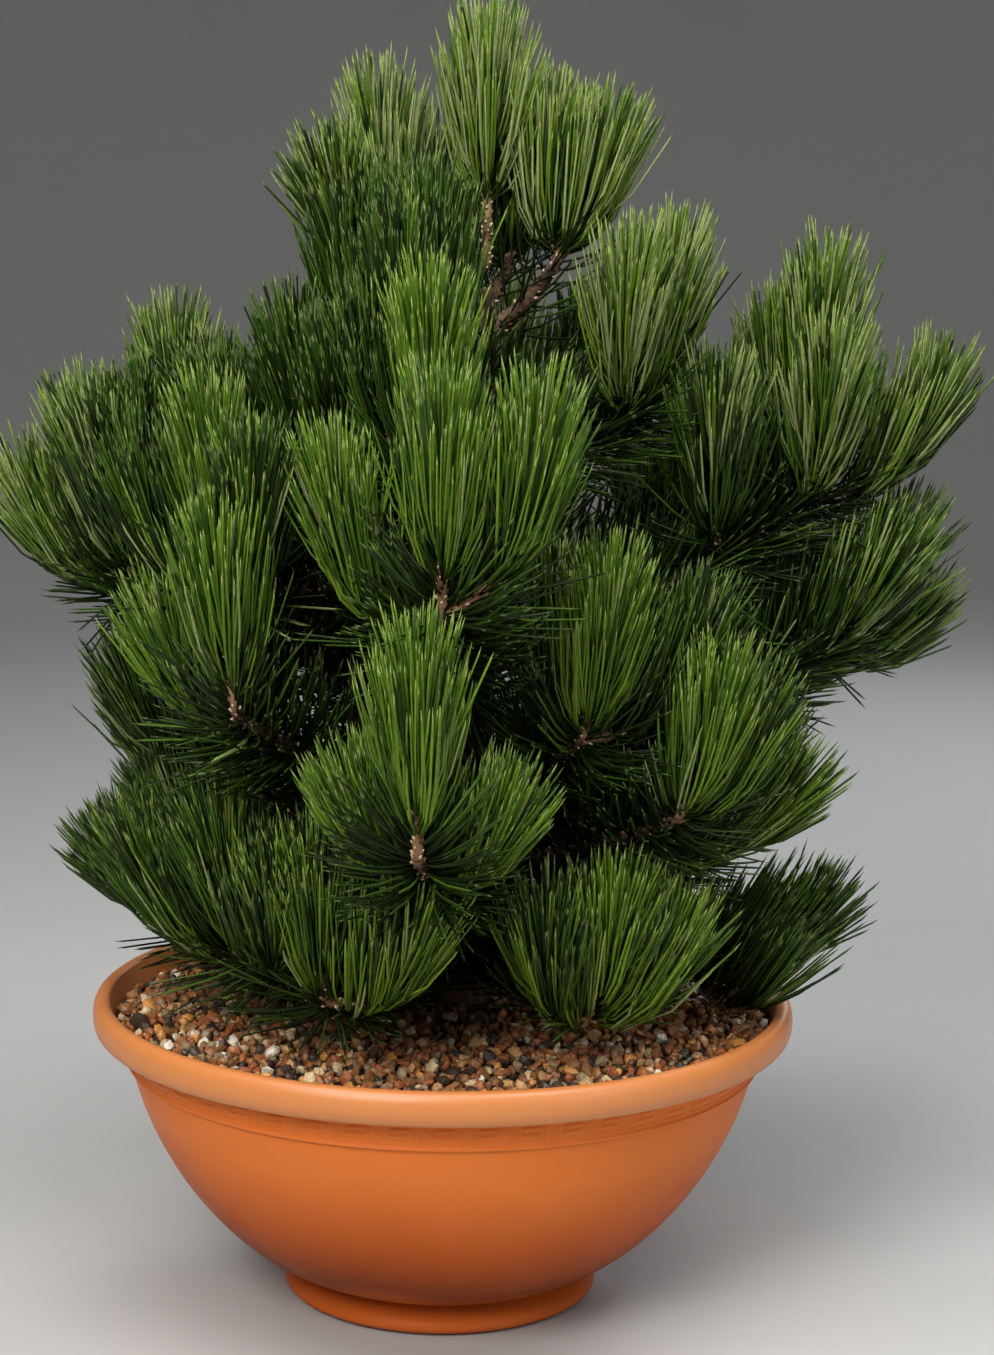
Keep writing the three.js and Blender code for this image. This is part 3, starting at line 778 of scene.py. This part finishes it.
def in_the_way(root, bend, tip, obstacles):
    """True for needles that would touch the trunk, a limb, the lip or the gravel, or leave the box."""
    blocked = np.zeros(len(root), bool)
    for t in (0.3, 0.55, 0.8, 1.0):
        points = (1 - t) ** 2 * root + 2 * t * (1 - t) * bend + t * t * tip
        blocked |= distance_to(points, *obstacles) < NEEDLE_WIDTH / 2
        x, y, z = points.T
        radius = np.hypot(x, y)
        lip_gap = np.hypot(radius - RIM_RADIUS + LIP_HALF_WIDTH, z - LIP_HEIGHT)
        blocked |= lip_gap < LIP_HALF_HEIGHT + 1
        blocked |= (radius < RIM_RADIUS) & (z < fill_height(x, y) + GRAVEL_CLEAR)
    low, high = np.array(cad_box) / MM
    return blocked | np.any((tip < low - PAST_BOX) | (tip > high + PAST_BOX), axis=1)


def needle_corners(root, first, last, length):
    """Where a needle bends, and its tip."""
    bend = root + first * (length * FOOT_SHARE)[:, None]
    return bend, bend + last * (length * (1 - FOOT_SHARE))[:, None]


def needle_meshes(root, first, last, length, tone):
    """Slim three-sided needles that leave along one direction and end along another.

    They come in two lots, first those that curve more and have more rings.
    """
    bend, tip = needle_corners(root, first, last, length)
    bending = np.degrees(np.arccos(np.clip(np.sum(first * last, axis=1), -1, 1)))
    roll = unit(np.cross(first, unit(chance.normal(size=first.shape))))
    width = NEEDLE_WIDTH * chance.uniform(0.85, 1.12, len(root))
    curved = bending > CURVED_OVER
    for rings, chosen in ((CURVED_RINGS, curved), (STRAIGHT_RINGS, ~curved)):
        a, b, c = (v[chosen][:, None] for v in (root, bend, tip))
        t = np.array(rings)[None, :, None]
        path = (1 - t) ** 2 * a + 2 * t * (1 - t) * b + t * t * c
        heading = unit((1 - t) * (b - a) + t * (c - b))
        side = unit(np.cross(heading, roll[chosen][:, None]))
        over = np.cross(heading, side)
        taper = np.ones(len(rings))
        taper[0], taper[-1] = 0.75, 0.82
        half = width[chosen][:, None] / 2 * taper
        corners = []
        for k in range(3):
            angle = 2 * math.pi * k / 3
            direction = side * math.cos(angle) + over * math.sin(angle)
            corners.append(path + direction * half[..., None])
        count, sections = len(a), len(rings)
        points = np.stack(corners, axis=2).reshape(count, sections * 3, 3)
        points = np.concatenate([points, c], axis=1)
        end = (sections - 1) * 3
        template = list(grid_faces(sections, 3)) + [(end, end + 1, 3 * sections)]
        template += [(end + 1, end + 2, 3 * sections), (end + 2, end, 3 * sections), (0, 2, 1)]
        template = np.array(template)
        faces = (template + points.shape[1] * np.arange(count)[:, None, None]).reshape(-1, 3)
        is_tip, is_shaded_foot = np.zeros((2, len(template)), bool)
        is_tip[-4:-1] = True
        is_shaded_foot[:3] = True  # the lowest side faces, each of two triangles
        is_shaded_foot[3 * (sections - 1):3 * sections] = True
        tones = np.repeat(tone[chosen][:, None], len(template), axis=1)
        # Tips follow their needle's tone, so a shaded needle's painted shade reaches its tip.
        tips = len(NEEDLE_TONES) + (tones >= LIGHT_TONES)
        # The needle's foot gets the darker tone: painted shade.
        tones = np.where(is_shaded_foot, FOOT_SHADE_TONES[tones], tones)
        yield points.reshape(-1, 3), faces, np.where(is_tip, tips, tones).ravel()


def pairs_along(curve, from_share, to_share, per_mm, radius_at):
    """Feet of needle pairs in a spiral, the directions there, and how far along the stretch they are."""
    pairs = max(1, int((to_share - from_share) * curve.length * per_mm / 2))
    stretch = np.repeat((np.arange(pairs) + chance.uniform(0.1, 0.9, pairs)) / pairs, 2)
    turn = np.arange(pairs) * GOLDEN_TURN + chance.uniform(-0.3, 0.3, pairs)
    turn = (turn[:, None] + np.array([-0.09, 0.09])).ravel()
    share = lerp(from_share, to_share, stretch)
    middle, heading, away = out_of_limb(curve, share, turn)
    return middle + away * (radius_at(share)[:, None] - 0.6), heading, away, stretch


# Shares of each tone on shoots deep in the crown, on open ones at the front and at the back, and on old
# wood. The darker tones dealt to shoots deep in the crown are painted shade, and the paler silver tone
# on open shoots at the back is painted light. Then the y of a mass's top, over which it turns from front
# to rear, and the z, from low to high; masses low at the back get more painted shade.
SHADED_SHARES = np.array([0.0, 0.03, 0.02, 0.23, 0.40, 0.32])
FRONT_SHARES = np.array([0.30, 0.34, 0.05, 0.18, 0.10, 0.03])
REAR_SHARES = np.array([0.12, 0.14, 0.54, 0.11, 0.07, 0.02])
OLD_SHARES = np.array([0.0, 0.0, 0.01, 0.07, 0.30, 0.62])
REAR_BETWEEN = (-130, 10)
LOW_BETWEEN = (300, 600)
LIGHT_BETWEEN = (8, 60)  # percentiles of the sky seen, for a shoot that is dark and one that is lit
BALL_RADIUS = 24.0  # of the balls that stand for a shoot's brush
SKY_DIRECTIONS = 40


def deal_tones(count, shares):
    """A tone for each needle, the same for the two of a pair."""
    dealt = chance.choice(len(NEEDLE_TONES), size=count // 2, p=shares / shares.sum())
    return np.repeat(dealt, 2)


def leafy_from(shoot):
    """The share of a shoot below its first needle of this year."""
    return max(0.04, 1 - LEAFY_LENGTH / shoot.length)


def clumped(places):
    """A lean for each needle, shared with those near it."""
    return np.array([noise.noise_vector(Vector(place / CLUMP_SIZE)) for place in places])


def shoot_needles(shoot, light, rear):
    start = leafy_from(shoot)
    leaning = 1 - smooth_step(*LEANING_RISES, shoot.heading(1)[2])
    per_mm = NEEDLES_PER_SHOOT * lerp(1, LEANING_KEEPS, leaning) / (shoot.length * (1 - start))
    foot, heading, away, share = pairs_along(shoot, start, 1, per_mm, shoot_radius)
    count = len(foot)
    at_bud = OPENING_AT_BUD * np.sqrt(chance.uniform(size=count))
    opening = lerp(OPENING, at_bud, share**1.5) + chance.normal(0, OPENING_VARIES, count)
    opening += STRAY_OPENING * (chance.uniform(size=count) < STRAY_SHARE)
    first = swung(heading, away, np.radians(opening))
    keeps = lerp(KEEPS_HEADING, KEEPS_AT_BUD, share)[:, None]
    wander = chance.normal(0, END_VARIES, (count, 3))
    wander += CLUMP_LEAN * clumped(foot + CLUMP_OUT * away)
    last = unit(first * keeps + shoot.heading(1) * (1 - keeps) + UP * END_LIFT + wander)
    length = lerp(NEEDLE_LENGTH, NEEDLE_AT_BUD, share**1.4) * lerp(1, LEANING_REACH, leaning)
    length = length * chance.uniform(1 - NEEDLE_VARIES, 1 + NEEDLE_VARIES / 3, count)
    shares = lerp(SHADED_SHARES, lerp(FRONT_SHARES, REAR_SHARES, rear), light)
    return foot, first, last, length, deal_tones(count, shares)


def old_needles(curve, from_share, to_share, per_mm, radius_at, reach=OLD_LENGTH):
    """Darker needles of earlier years, further open, along a stretch of a limb."""
    foot, heading, away, share = pairs_along(curve, from_share, to_share, per_mm, radius_at)
    count = len(foot)
    first = swung(heading, away, np.radians(OLD_OPENING + chance.normal(0, 11, count)))
    last = unit(heading * 0.6 + away * 0.75 + UP * 0.42 + chance.normal(0, 0.12, (count, 3)))
    length = reach * chance.uniform(0.7, 1.05, count)
    return foot, first, last, length, deal_tones(count, OLD_SHARES)


# The stretch of the trunk that bears old needles
UPPER_TRUNK = Curve(trunk_at(370), trunk_at(420), trunk_at(470))
UPPER_TRUNK_RADII = (10.3, 7.4)


def upper_trunk_radius(share):
    return lerp(*UPPER_TRUNK_RADII, share)


def old_batches(plan):
    """The old needles of a mass: on its limb, denser round its whorl, and on the feet of its shoots.

    The leader has none of its own, so the trunk's are dealt out with it.
    """
    if plan["name"] == "leader":
        return [old_needles(UPPER_TRUNK, 0, 1, TRUNK_PER_MM, upper_trunk_radius, TRUNK_LENGTH)]
    curve = plan["curve"]
    tuft = 1 - min(TUFT_LENGTH / curve.length, 0.6)
    kept = lerp(1, TOP_KEEPS_OLD, smooth_step(*TOP_HEIGHTS, plan["top"][2]))
    batches = [old_needles(curve, tuft, 1, TUFT_PER_MM * kept, limb_radius)]
    if tuft > OLD_FROM:
        batches.append(old_needles(curve, OLD_FROM, tuft, OLD_PER_MM * kept, limb_radius))
    for shoot in plan["shoots"]:
        batches.append(old_needles(shoot, 0, leafy_from(shoot), BARE_PER_MM * kept, shoot_radius))
    return batches


def region_of(plan):
    """The name of the piece that a mass's needles are joined into."""
    x, y, z = plan["top"]
    if z > 590:
        return "top"
    if y > 90:
        return "back_left" if x < 0 else "back_right"
    if z < 330:
        return "low"
    if x < -50:
        return "left"
    return "front" if x < 50 else "right"


def sky_shares():
    """For each shoot, the share of the directions level and up in which no other brush stands.

    Two balls stand for each brush, one on the shoot and one over its end.
    """
    shoots = [shoot for plan in PLANS for shoot in plan["shoots"]]
    middles = [shoot.at(0.7) for shoot in shoots] + [shoot.at(1) + UP * 32 for shoot in shoots]
    middles, owners = np.array(middles), np.tile(np.arange(len(shoots)), 2)
    turns = np.arange(SKY_DIRECTIONS) * GOLDEN_TURN
    rises = np.linspace(-0.25, 0.98, SKY_DIRECTIONS)
    directions = turned(np.sqrt(1 - rises**2), turns, rises)
    shares = []
    for number in range(len(shoots)):
        others = middles[owners != number] - middles[number]
        along = directions @ others.T
        aside = np.sqrt(np.maximum((others**2).sum(axis=1) - along**2, 0))
        blocked = ((along > 20) & (aside < BALL_RADIUS)).any(axis=1)
        shares.append(1 - blocked.mean())
    return np.array(shares)


def make_needles():
    regions = {}
    for plan in PLANS:
        regions.setdefault(region_of(plan), []).append(plan)
    # The sky a shoot sees sets its light, which its needles' tones paint as shade.
    shares = sky_shares()
    lights = iter(smooth_step(*np.percentile(shares, LIGHT_BETWEEN), shares))
    for plan in PLANS:
        plan["lights"] = [next(lights) for _ in plan["shoots"]]
    materials = needle_materials()
    for region, plans in regions.items():
        heap = Heap()
        for plan in plans:
            rear = smooth_step(*REAR_BETWEEN, plan["top"][1])
            low = 1 - smooth_step(*LOW_BETWEEN, plan["top"][2])
            # Masses low at the back lose light, which darkens their tones as painted shade.
            lit = plan["light"] * (1 - rear * low)
            batches = []
            for shoot, light in zip(plan["shoots"], plan["lights"]):
                batches.append(shoot_needles(shoot, light * lit, rear))
            batches += old_batches(plan)
            root, first, last, length, tone = (np.concatenate(parts) for parts in zip(*batches))
            bend, tip = needle_corners(root, first, last, length)
            free = ~in_the_way(root, bend, tip, obstacles_for(plan))
            for lot in needle_meshes(*(v[free] for v in (root, first, last, length, tone))):
                heap.add(*lot)
        heap.make("needles_" + region, materials, [plan["name"] for plan in plans])


# Bowl


def body_radius(height):
    u = (height - NECK_HEIGHT) / (BODY_TOP - NECK_HEIGHT)
    swell = (1 - (1 - u) ** BODY_POWER) ** (1 / BODY_ROUNDNESS)
    return NECK_RADIUS + (BODY_TOP_RADIUS - NECK_RADIUS) * swell


def foot_outline():
    """The rounded foot ring, as a smooth curve through its named points."""
    corners = np.array([*FOOT_CURVE, (NECK_RADIUS, NECK_HEIGHT)])
    outline = []
    for k in range(len(corners) - 1):
        before, after = corners[max(k - 1, 0)], corners[min(k + 2, len(corners) - 1)]
        a, b = corners[k], corners[k + 1]
        for t in np.linspace(0, 1, 4, endpoint=False):
            bend = 2 * a + (b - before) * t + (2 * before - 5 * a + 4 * b - after) * t**2
            outline.append(0.5 * (bend + (3 * a - before - 3 * b + after) * t**3))
    return [tuple(point) for point in outline]


# Colours over the bowl's height: the foot ring, the darker neck, and the body that grows paler upward.
# The darker neck is painted shade under the body's swell, and the paler upper body is painted light from
# above.
BODY_COLOURS_AND_SHADE = [
    (0.0, (0.480, 0.100, 0.017)),
    (0.1, (0.220, 0.038, 0.005)),
    (0.32, (0.450, 0.088, 0.014)),
    (0.58, (0.670, 0.172, 0.034)),
]
# The lip is the body's plastic painted paler and less red, a painted highlight.
LIP_COLOURS_AND_HIGHLIGHT = [(0.6, (0.480, 0.138, 0.030)), (0.78, (0.550, 0.188, 0.048))]


def make_bowl():
    outline = [(0, 0), (FOOT_CURVE[0][0] * 0.97, 0), *foot_outline()]
    heights = NECK_HEIGHT + (BODY_TOP - NECK_HEIGHT) * np.linspace(0, 1, 46) ** 1.6
    outline += [(body_radius(z), z) for z in heights]
    lip_middle = RIM_RADIUS - LIP_HALF_WIDTH
    outline += [(lip_middle - LIP_HALF_WIDTH, BODY_TOP)]
    for angle in -math.pi / 2 + LIP_SWEEP * np.linspace(0, 1, 30):
        across = math.copysign(abs(math.cos(angle)) ** LIP_POWER, math.cos(angle))
        rise = math.copysign(abs(math.sin(angle)) ** LIP_POWER, math.sin(angle))
        outline.append((lip_middle + LIP_HALF_WIDTH * across, LIP_HEIGHT + LIP_HALF_HEIGHT * rise))
    outline.append((RIM_RADIUS - 2 * LIP_HALF_WIDTH, LIP_HEIGHT - LIP_INNER_DROP))
    for z in np.linspace(BODY_TOP - WALL_TURNS_OUT, NECK_HEIGHT + WALL, 12):
        outline.append((body_radius(z) - WALL, z))
    outline += [(FLOOR_RADIUS, NECK_HEIGHT), (FLOOR_RADIUS, FLOOR_HEIGHT), (0, FLOOR_HEIGHT)]
    heap = Heap()
    points, faces = lathe(outline, BOWL_STEPS)
    on_lip = points[faces].mean(axis=1)[:, 2] > BODY_TOP + 0.1
    heap.add(points, faces, np.where(on_lip, 1, 0))
    heap.add(*band(), 0)
    body = plastic_material("plastic_body", BODY_COLOURS_AND_SHADE, 0.08)
    # The lip's material is a paler copy of the body's: painted highlight.
    lip = plastic_material("plastic_lip_highlight", LIP_COLOURS_AND_HIGHLIGHT, 0.65)
    heap.make("bowl", [body, lip], ["pot"])


# The band under the lip: raised keys in a row round the bowl
KEYS = 50
KEY_COLUMNS = 30
BEAD_HEIGHT = 2.9
BAND_ROWS = 30
BEAD_PROUD = 2.2
FIELD_PROUD = 0.5
STROKE = 0.75  # half the width of a raised line
STROKE_PROUD = 0.6
KEY = [
    (1.3, 1.0), (20.2, 1.0), (20.2, 11.4), (4.8, 11.4), (4.8, 4.3), (16.4, 4.3), (16.4, 8.0), (8.6, 8.0),
]


def key_relief(x, y):
    """The height of the raised line at a place in a key's cell."""
    least = np.full(x.shape, np.inf)
    for (x0, y0), (x1, y1) in zip(KEY[:-1], KEY[1:]):
        dx, dy = x1 - x0, y1 - y0
        share = np.clip(((x - x0) * dx + (y - y0) * dy) / (dx * dx + dy * dy), 0, 1)
        least = np.minimum(least, np.hypot(x - x0 - share * dx, y - y0 - share * dy))
    return STROKE_PROUD * (1 - smooth_step(STROKE - 0.1, STROKE + 0.4, least))


def band():
    cell = 2 * math.pi * body_radius(BODY_TOP) / KEYS
    columns = KEYS * KEY_COLUMNS
    heights = np.linspace(BAND_BOTTOM, BODY_TOP + 0.4, BAND_ROWS)
    column = np.arange(columns)
    x = (column % KEY_COLUMNS) / KEY_COLUMNS * cell
    angle = 2 * math.pi * column / columns
    bead_top = BAND_BOTTOM + BEAD_HEIGHT
    rows = []
    for z in heights:
        bead = math.sin(math.pi * min((z - BAND_BOTTOM) / BEAD_HEIGHT, 1)) ** 0.6
        level = FIELD_PROUD + (BEAD_PROUD - FIELD_PROUD) * bead
        proud = level + key_relief(x, z - bead_top) * (1 - bead)
        rows.append((body_radius(min(z, BODY_TOP)) + proud, z))
    rows.insert(0, (body_radius(BAND_BOTTOM) - 1.0, BAND_BOTTOM - 0.6))
    rows.append((body_radius(BODY_TOP) - 1.0, BODY_TOP + 0.4))
    rows.append(rows[0])
    faces = grid_faces(len(rows), columns) % (columns * (len(rows) - 1))
    return np.concatenate([turned(radius, angle, z) for radius, z in rows[:-1]]), faces


# Gravel


def rounded_stone(subdivisions):
    """A unit ball of even triangles."""
    ball = bmesh.new()
    bmesh.ops.create_icosphere(ball, subdivisions=subdivisions, radius=1)
    ball.verts.ensure_lookup_table()
    points = np.array([vertex.co[:] for vertex in ball.verts])
    faces = np.array([[vertex.index for vertex in face.verts] for face in ball.faces])
    ball.free()
    return points, faces


def random_turns(count):
    """Evenly spread rotations as matrices."""
    a = unit(chance.normal(size=(count, 3)))
    b = chance.normal(size=(count, 3))
    b = unit(b - a * np.sum(a * b, axis=1, keepdims=True))
    return np.stack([a, b, np.cross(a, b)], axis=-1)


def add_stones(heap, centres, sizes, tones, subdivisions, roughness):
    ball, template = rounded_stone(subdivisions)
    count = len(centres)
    lumps = 1 + chance.uniform(-roughness, roughness, (count, len(ball), 1))
    flat = np.stack(
        [np.ones(count), chance.uniform(0.65, 0.95, count), chance.uniform(0.45, 0.8, count)], axis=-1
    )
    stones = ball[None] * lumps * (sizes / 2)[:, None, None] * flat[:, None]
    stones = np.einsum("nij,nkj->nki", random_turns(count), stones)
    stones += centres[:, None]
    faces = (template + len(ball) * np.arange(count)[:, None, None]).reshape(-1, 3)
    heap.add(stones.reshape(-1, 3), faces, np.repeat(tones, len(template)))


def stone_places(spacing):
    """Places in a loose honeycomb over the gravel, clear of the trunk and the wall."""
    steps = np.arange(-FILL_RADIUS, FILL_RADIUS, spacing)
    x, y = np.meshgrid(steps, steps * math.sqrt(3) / 2 * 1.2)
    x = x + spacing / 2 * (np.arange(len(steps)) % 2)[:, None]
    places = np.stack([x.ravel(), y.ravel()], axis=-1)
    places += chance.uniform(-0.42, 0.42, places.shape) * spacing
    radius = np.hypot(places[:, 0], places[:, 1])
    clear = np.hypot(places[:, 0] - TRUNK[0, 0], places[:, 1] - TRUNK[0, 1]) > TRUNK[0, 3] - 2
    return places[(radius < FILL_RADIUS - spacing * 0.4) & clear]


# Passes of stones: spacing, least and greatest size, subdivisions and lift
STONE_PASSES = [(5.2, 4.5, 7.5, 1, 0.4), (9.5, 6.5, 10.5, 1, 1.6)]
# Stones that stand out: x, y, size and the name of their tone
MARKED_STONES = [
    (-87, -98, 12, "stone_white"),
    (-129, -68, 7, "stone_white"),
    (-159, -11, 10, "stone_ochre"),
    (-161, -44, 14, "stone_dark"),
    (107, -30, 9, "stone_tan"),
]


def make_gravel():
    heap = Heap()
    for spacing, low, high, subdivisions, lift in STONE_PASSES:
        places = stone_places(spacing)
        count = len(places)
        sizes = low + (high - low) * chance.beta(1.6, 2.2, count)
        height = fill_height(*places.T) + chance.uniform(0, 2.2, count) + lift
        tones = chance.choice(len(STONES), size=count, p=STONE_SHARES)
        add_stones(heap, np.column_stack([places, height]), sizes, tones, subdivisions, roughness=0.2)
    names = list(STONES)
    for x, y, size, tone in MARKED_STONES:
        place = np.array([(x, y, fill_height(x, y) + 4.0)])
        tones = np.array([names.index(tone)])
        add_stones(heap, place, np.array([float(size)]), tones, subdivisions=2, roughness=0.08)
    materials = [
        mottled(name, colour, 0.5, 260, contrast=0.35, grain=0.3, specular=0.6)
        for name, colour in STONES.items()
    ]
    heap.make("gravel_stones", materials).data.shade_flat()
    soil = mottled("grit_bed", (0.030, 0.018, 0.011), 0.95, 200, contrast=0.5, grain=1.0)
    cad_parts["gravel_fill"].material_slots[0].material = soil


MOSS_AT = [
    (-118, 47), (-106, 22), (-116, 1), (-37, -16), (-28, -22), (-110, 60), (70, 40), (20, 120),
    (-60, 130),
]
MOSS_LUMPS = 14


def make_moss():
    """A few small tufts of bright moss among the stones."""
    heap = Heap()
    for x, y in MOSS_AT:
        spots = np.array([x, y]) + chance.normal(0, 3.2, (MOSS_LUMPS, 2))
        height = fill_height(*spots.T) + chance.uniform(2, 5.5, MOSS_LUMPS)
        sizes = chance.uniform(1.6, 3.4, MOSS_LUMPS)
        tones = np.zeros(MOSS_LUMPS, int)
        add_stones(heap, np.column_stack([spots, height]), sizes, tones, subdivisions=1, roughness=0.25)
    heap.make("moss", [mottled("moss_green", (0.300, 0.420, 0.060), 0.8, 500)])


# Floor, light and camera, in metres. The floor rises into a wall far off, by a wide cove.
FLOOR_FLAT = 2.6
COVE_RADIUS = 3.0
WALL_TOP = 5.0
FLOOR_GREY = (0.44, 0.44, 0.435)
WORLD_COLOUR = (0.86, 0.87, 0.88, 1)
WORLD_STRENGTH = 0.14
LIGHTS_AIM = (0, 0, 0.35)
# Each light's name, place, width and height, watts and colour
LIGHTS = [
    ("key", (-0.8, -1.85, 1.6), (1.0, 1.0), 48, (1.0, 0.97, 0.92)),
    ("fill", (1.8, -1.6, 1.0), (1.4, 1.4), 12, (0.95, 0.98, 1.0)),
    ("top", (0, -0.6, 1.75), (2.2, 0.5), 36, (1, 1, 1)),
    ("rim", (1.2, 2.0, 1.5), (1.0, 1.0), 20, (0.92, 0.97, 1.0)),
]


def make_stage():
    outline = [(0.0, 0.0)]
    for angle in np.linspace(0, math.pi / 2, 24):
        across = FLOOR_FLAT + COVE_RADIUS * math.sin(angle)
        outline.append((across, COVE_RADIUS * (1 - math.cos(angle))))
    outline += [(FLOOR_FLAT + COVE_RADIUS, WALL_TOP), (0.0, WALL_TOP)]
    points, faces = lathe(outline, 96)
    faces = faces[(faces < len(points) - 1).all(axis=1)]  # which leaves out the ceiling
    grey = mottled("studio_floor", FLOOR_GREY, 0.8, 2, contrast=0.02)
    seen_from_within = faces[:, ::-1]
    floor = make_mesh("studio_floor", points[:-1], seen_from_within, np.zeros(len(faces)), [grey])
    world = bpy.data.worlds.new("studio")
    world.use_nodes = True
    background = world.node_tree.nodes["Background"]
    background.inputs["Color"].default_value = WORLD_COLOUR
    background.inputs["Strength"].default_value = WORLD_STRENGTH
    bpy.context.scene.world = world


def make_lights():
    for name, place, size, power, colour in LIGHTS:
        light = bpy.data.lights.new(name, "AREA")
        light.shape = "RECTANGLE"
        light.size, light.size_y = size
        light.energy = power
        light.color = colour
        lamp = bpy.data.objects.new(name, light)
        lamp.location = place
        aim = Vector(LIGHTS_AIM) - Vector(place)
        lamp.rotation_euler = aim.to_track_quat("-Z", "Y").to_euler()
        bpy.context.scene.collection.objects.link(lamp)


def make_camera():
    pitch, yaw, roll = (math.radians(a) for a in (CAMERA_DOWN, CAMERA_RIGHT, CAMERA_ROLL))
    forward = Vector(
        (math.sin(yaw) * math.cos(pitch), math.cos(yaw) * math.cos(pitch), -math.sin(pitch))
    )
    level = Vector((math.cos(yaw), -math.sin(yaw), 0))
    upright = level.cross(forward)
    right = level * math.cos(roll) + upright * math.sin(roll)
    above = upright * math.cos(roll) - level * math.sin(roll)
    data = bpy.data.cameras.new("camera")
    data.sensor_fit = "VERTICAL"
    data.sensor_height = SENSOR_HEIGHT
    data.lens = FOCAL_PIXELS / PICTURE_HEIGHT * SENSOR_HEIGHT
    camera = bpy.data.objects.new("camera", data)
    axes = Matrix((right, above, -forward)).transposed().to_4x4()
    camera.matrix_world = Matrix.Translation(Vector(CAMERA_AT) * MM) @ axes
    bpy.context.scene.collection.objects.link(camera)
    bpy.context.scene.camera = camera


# Chance deals its numbers out in the order of these calls
make_camera()
make_limbs()
make_buds()
make_needles()
make_bowl()
make_gravel()
make_moss()
make_stage()
make_lights()
bpy.context.scene.view_settings.view_transform = "Standard"
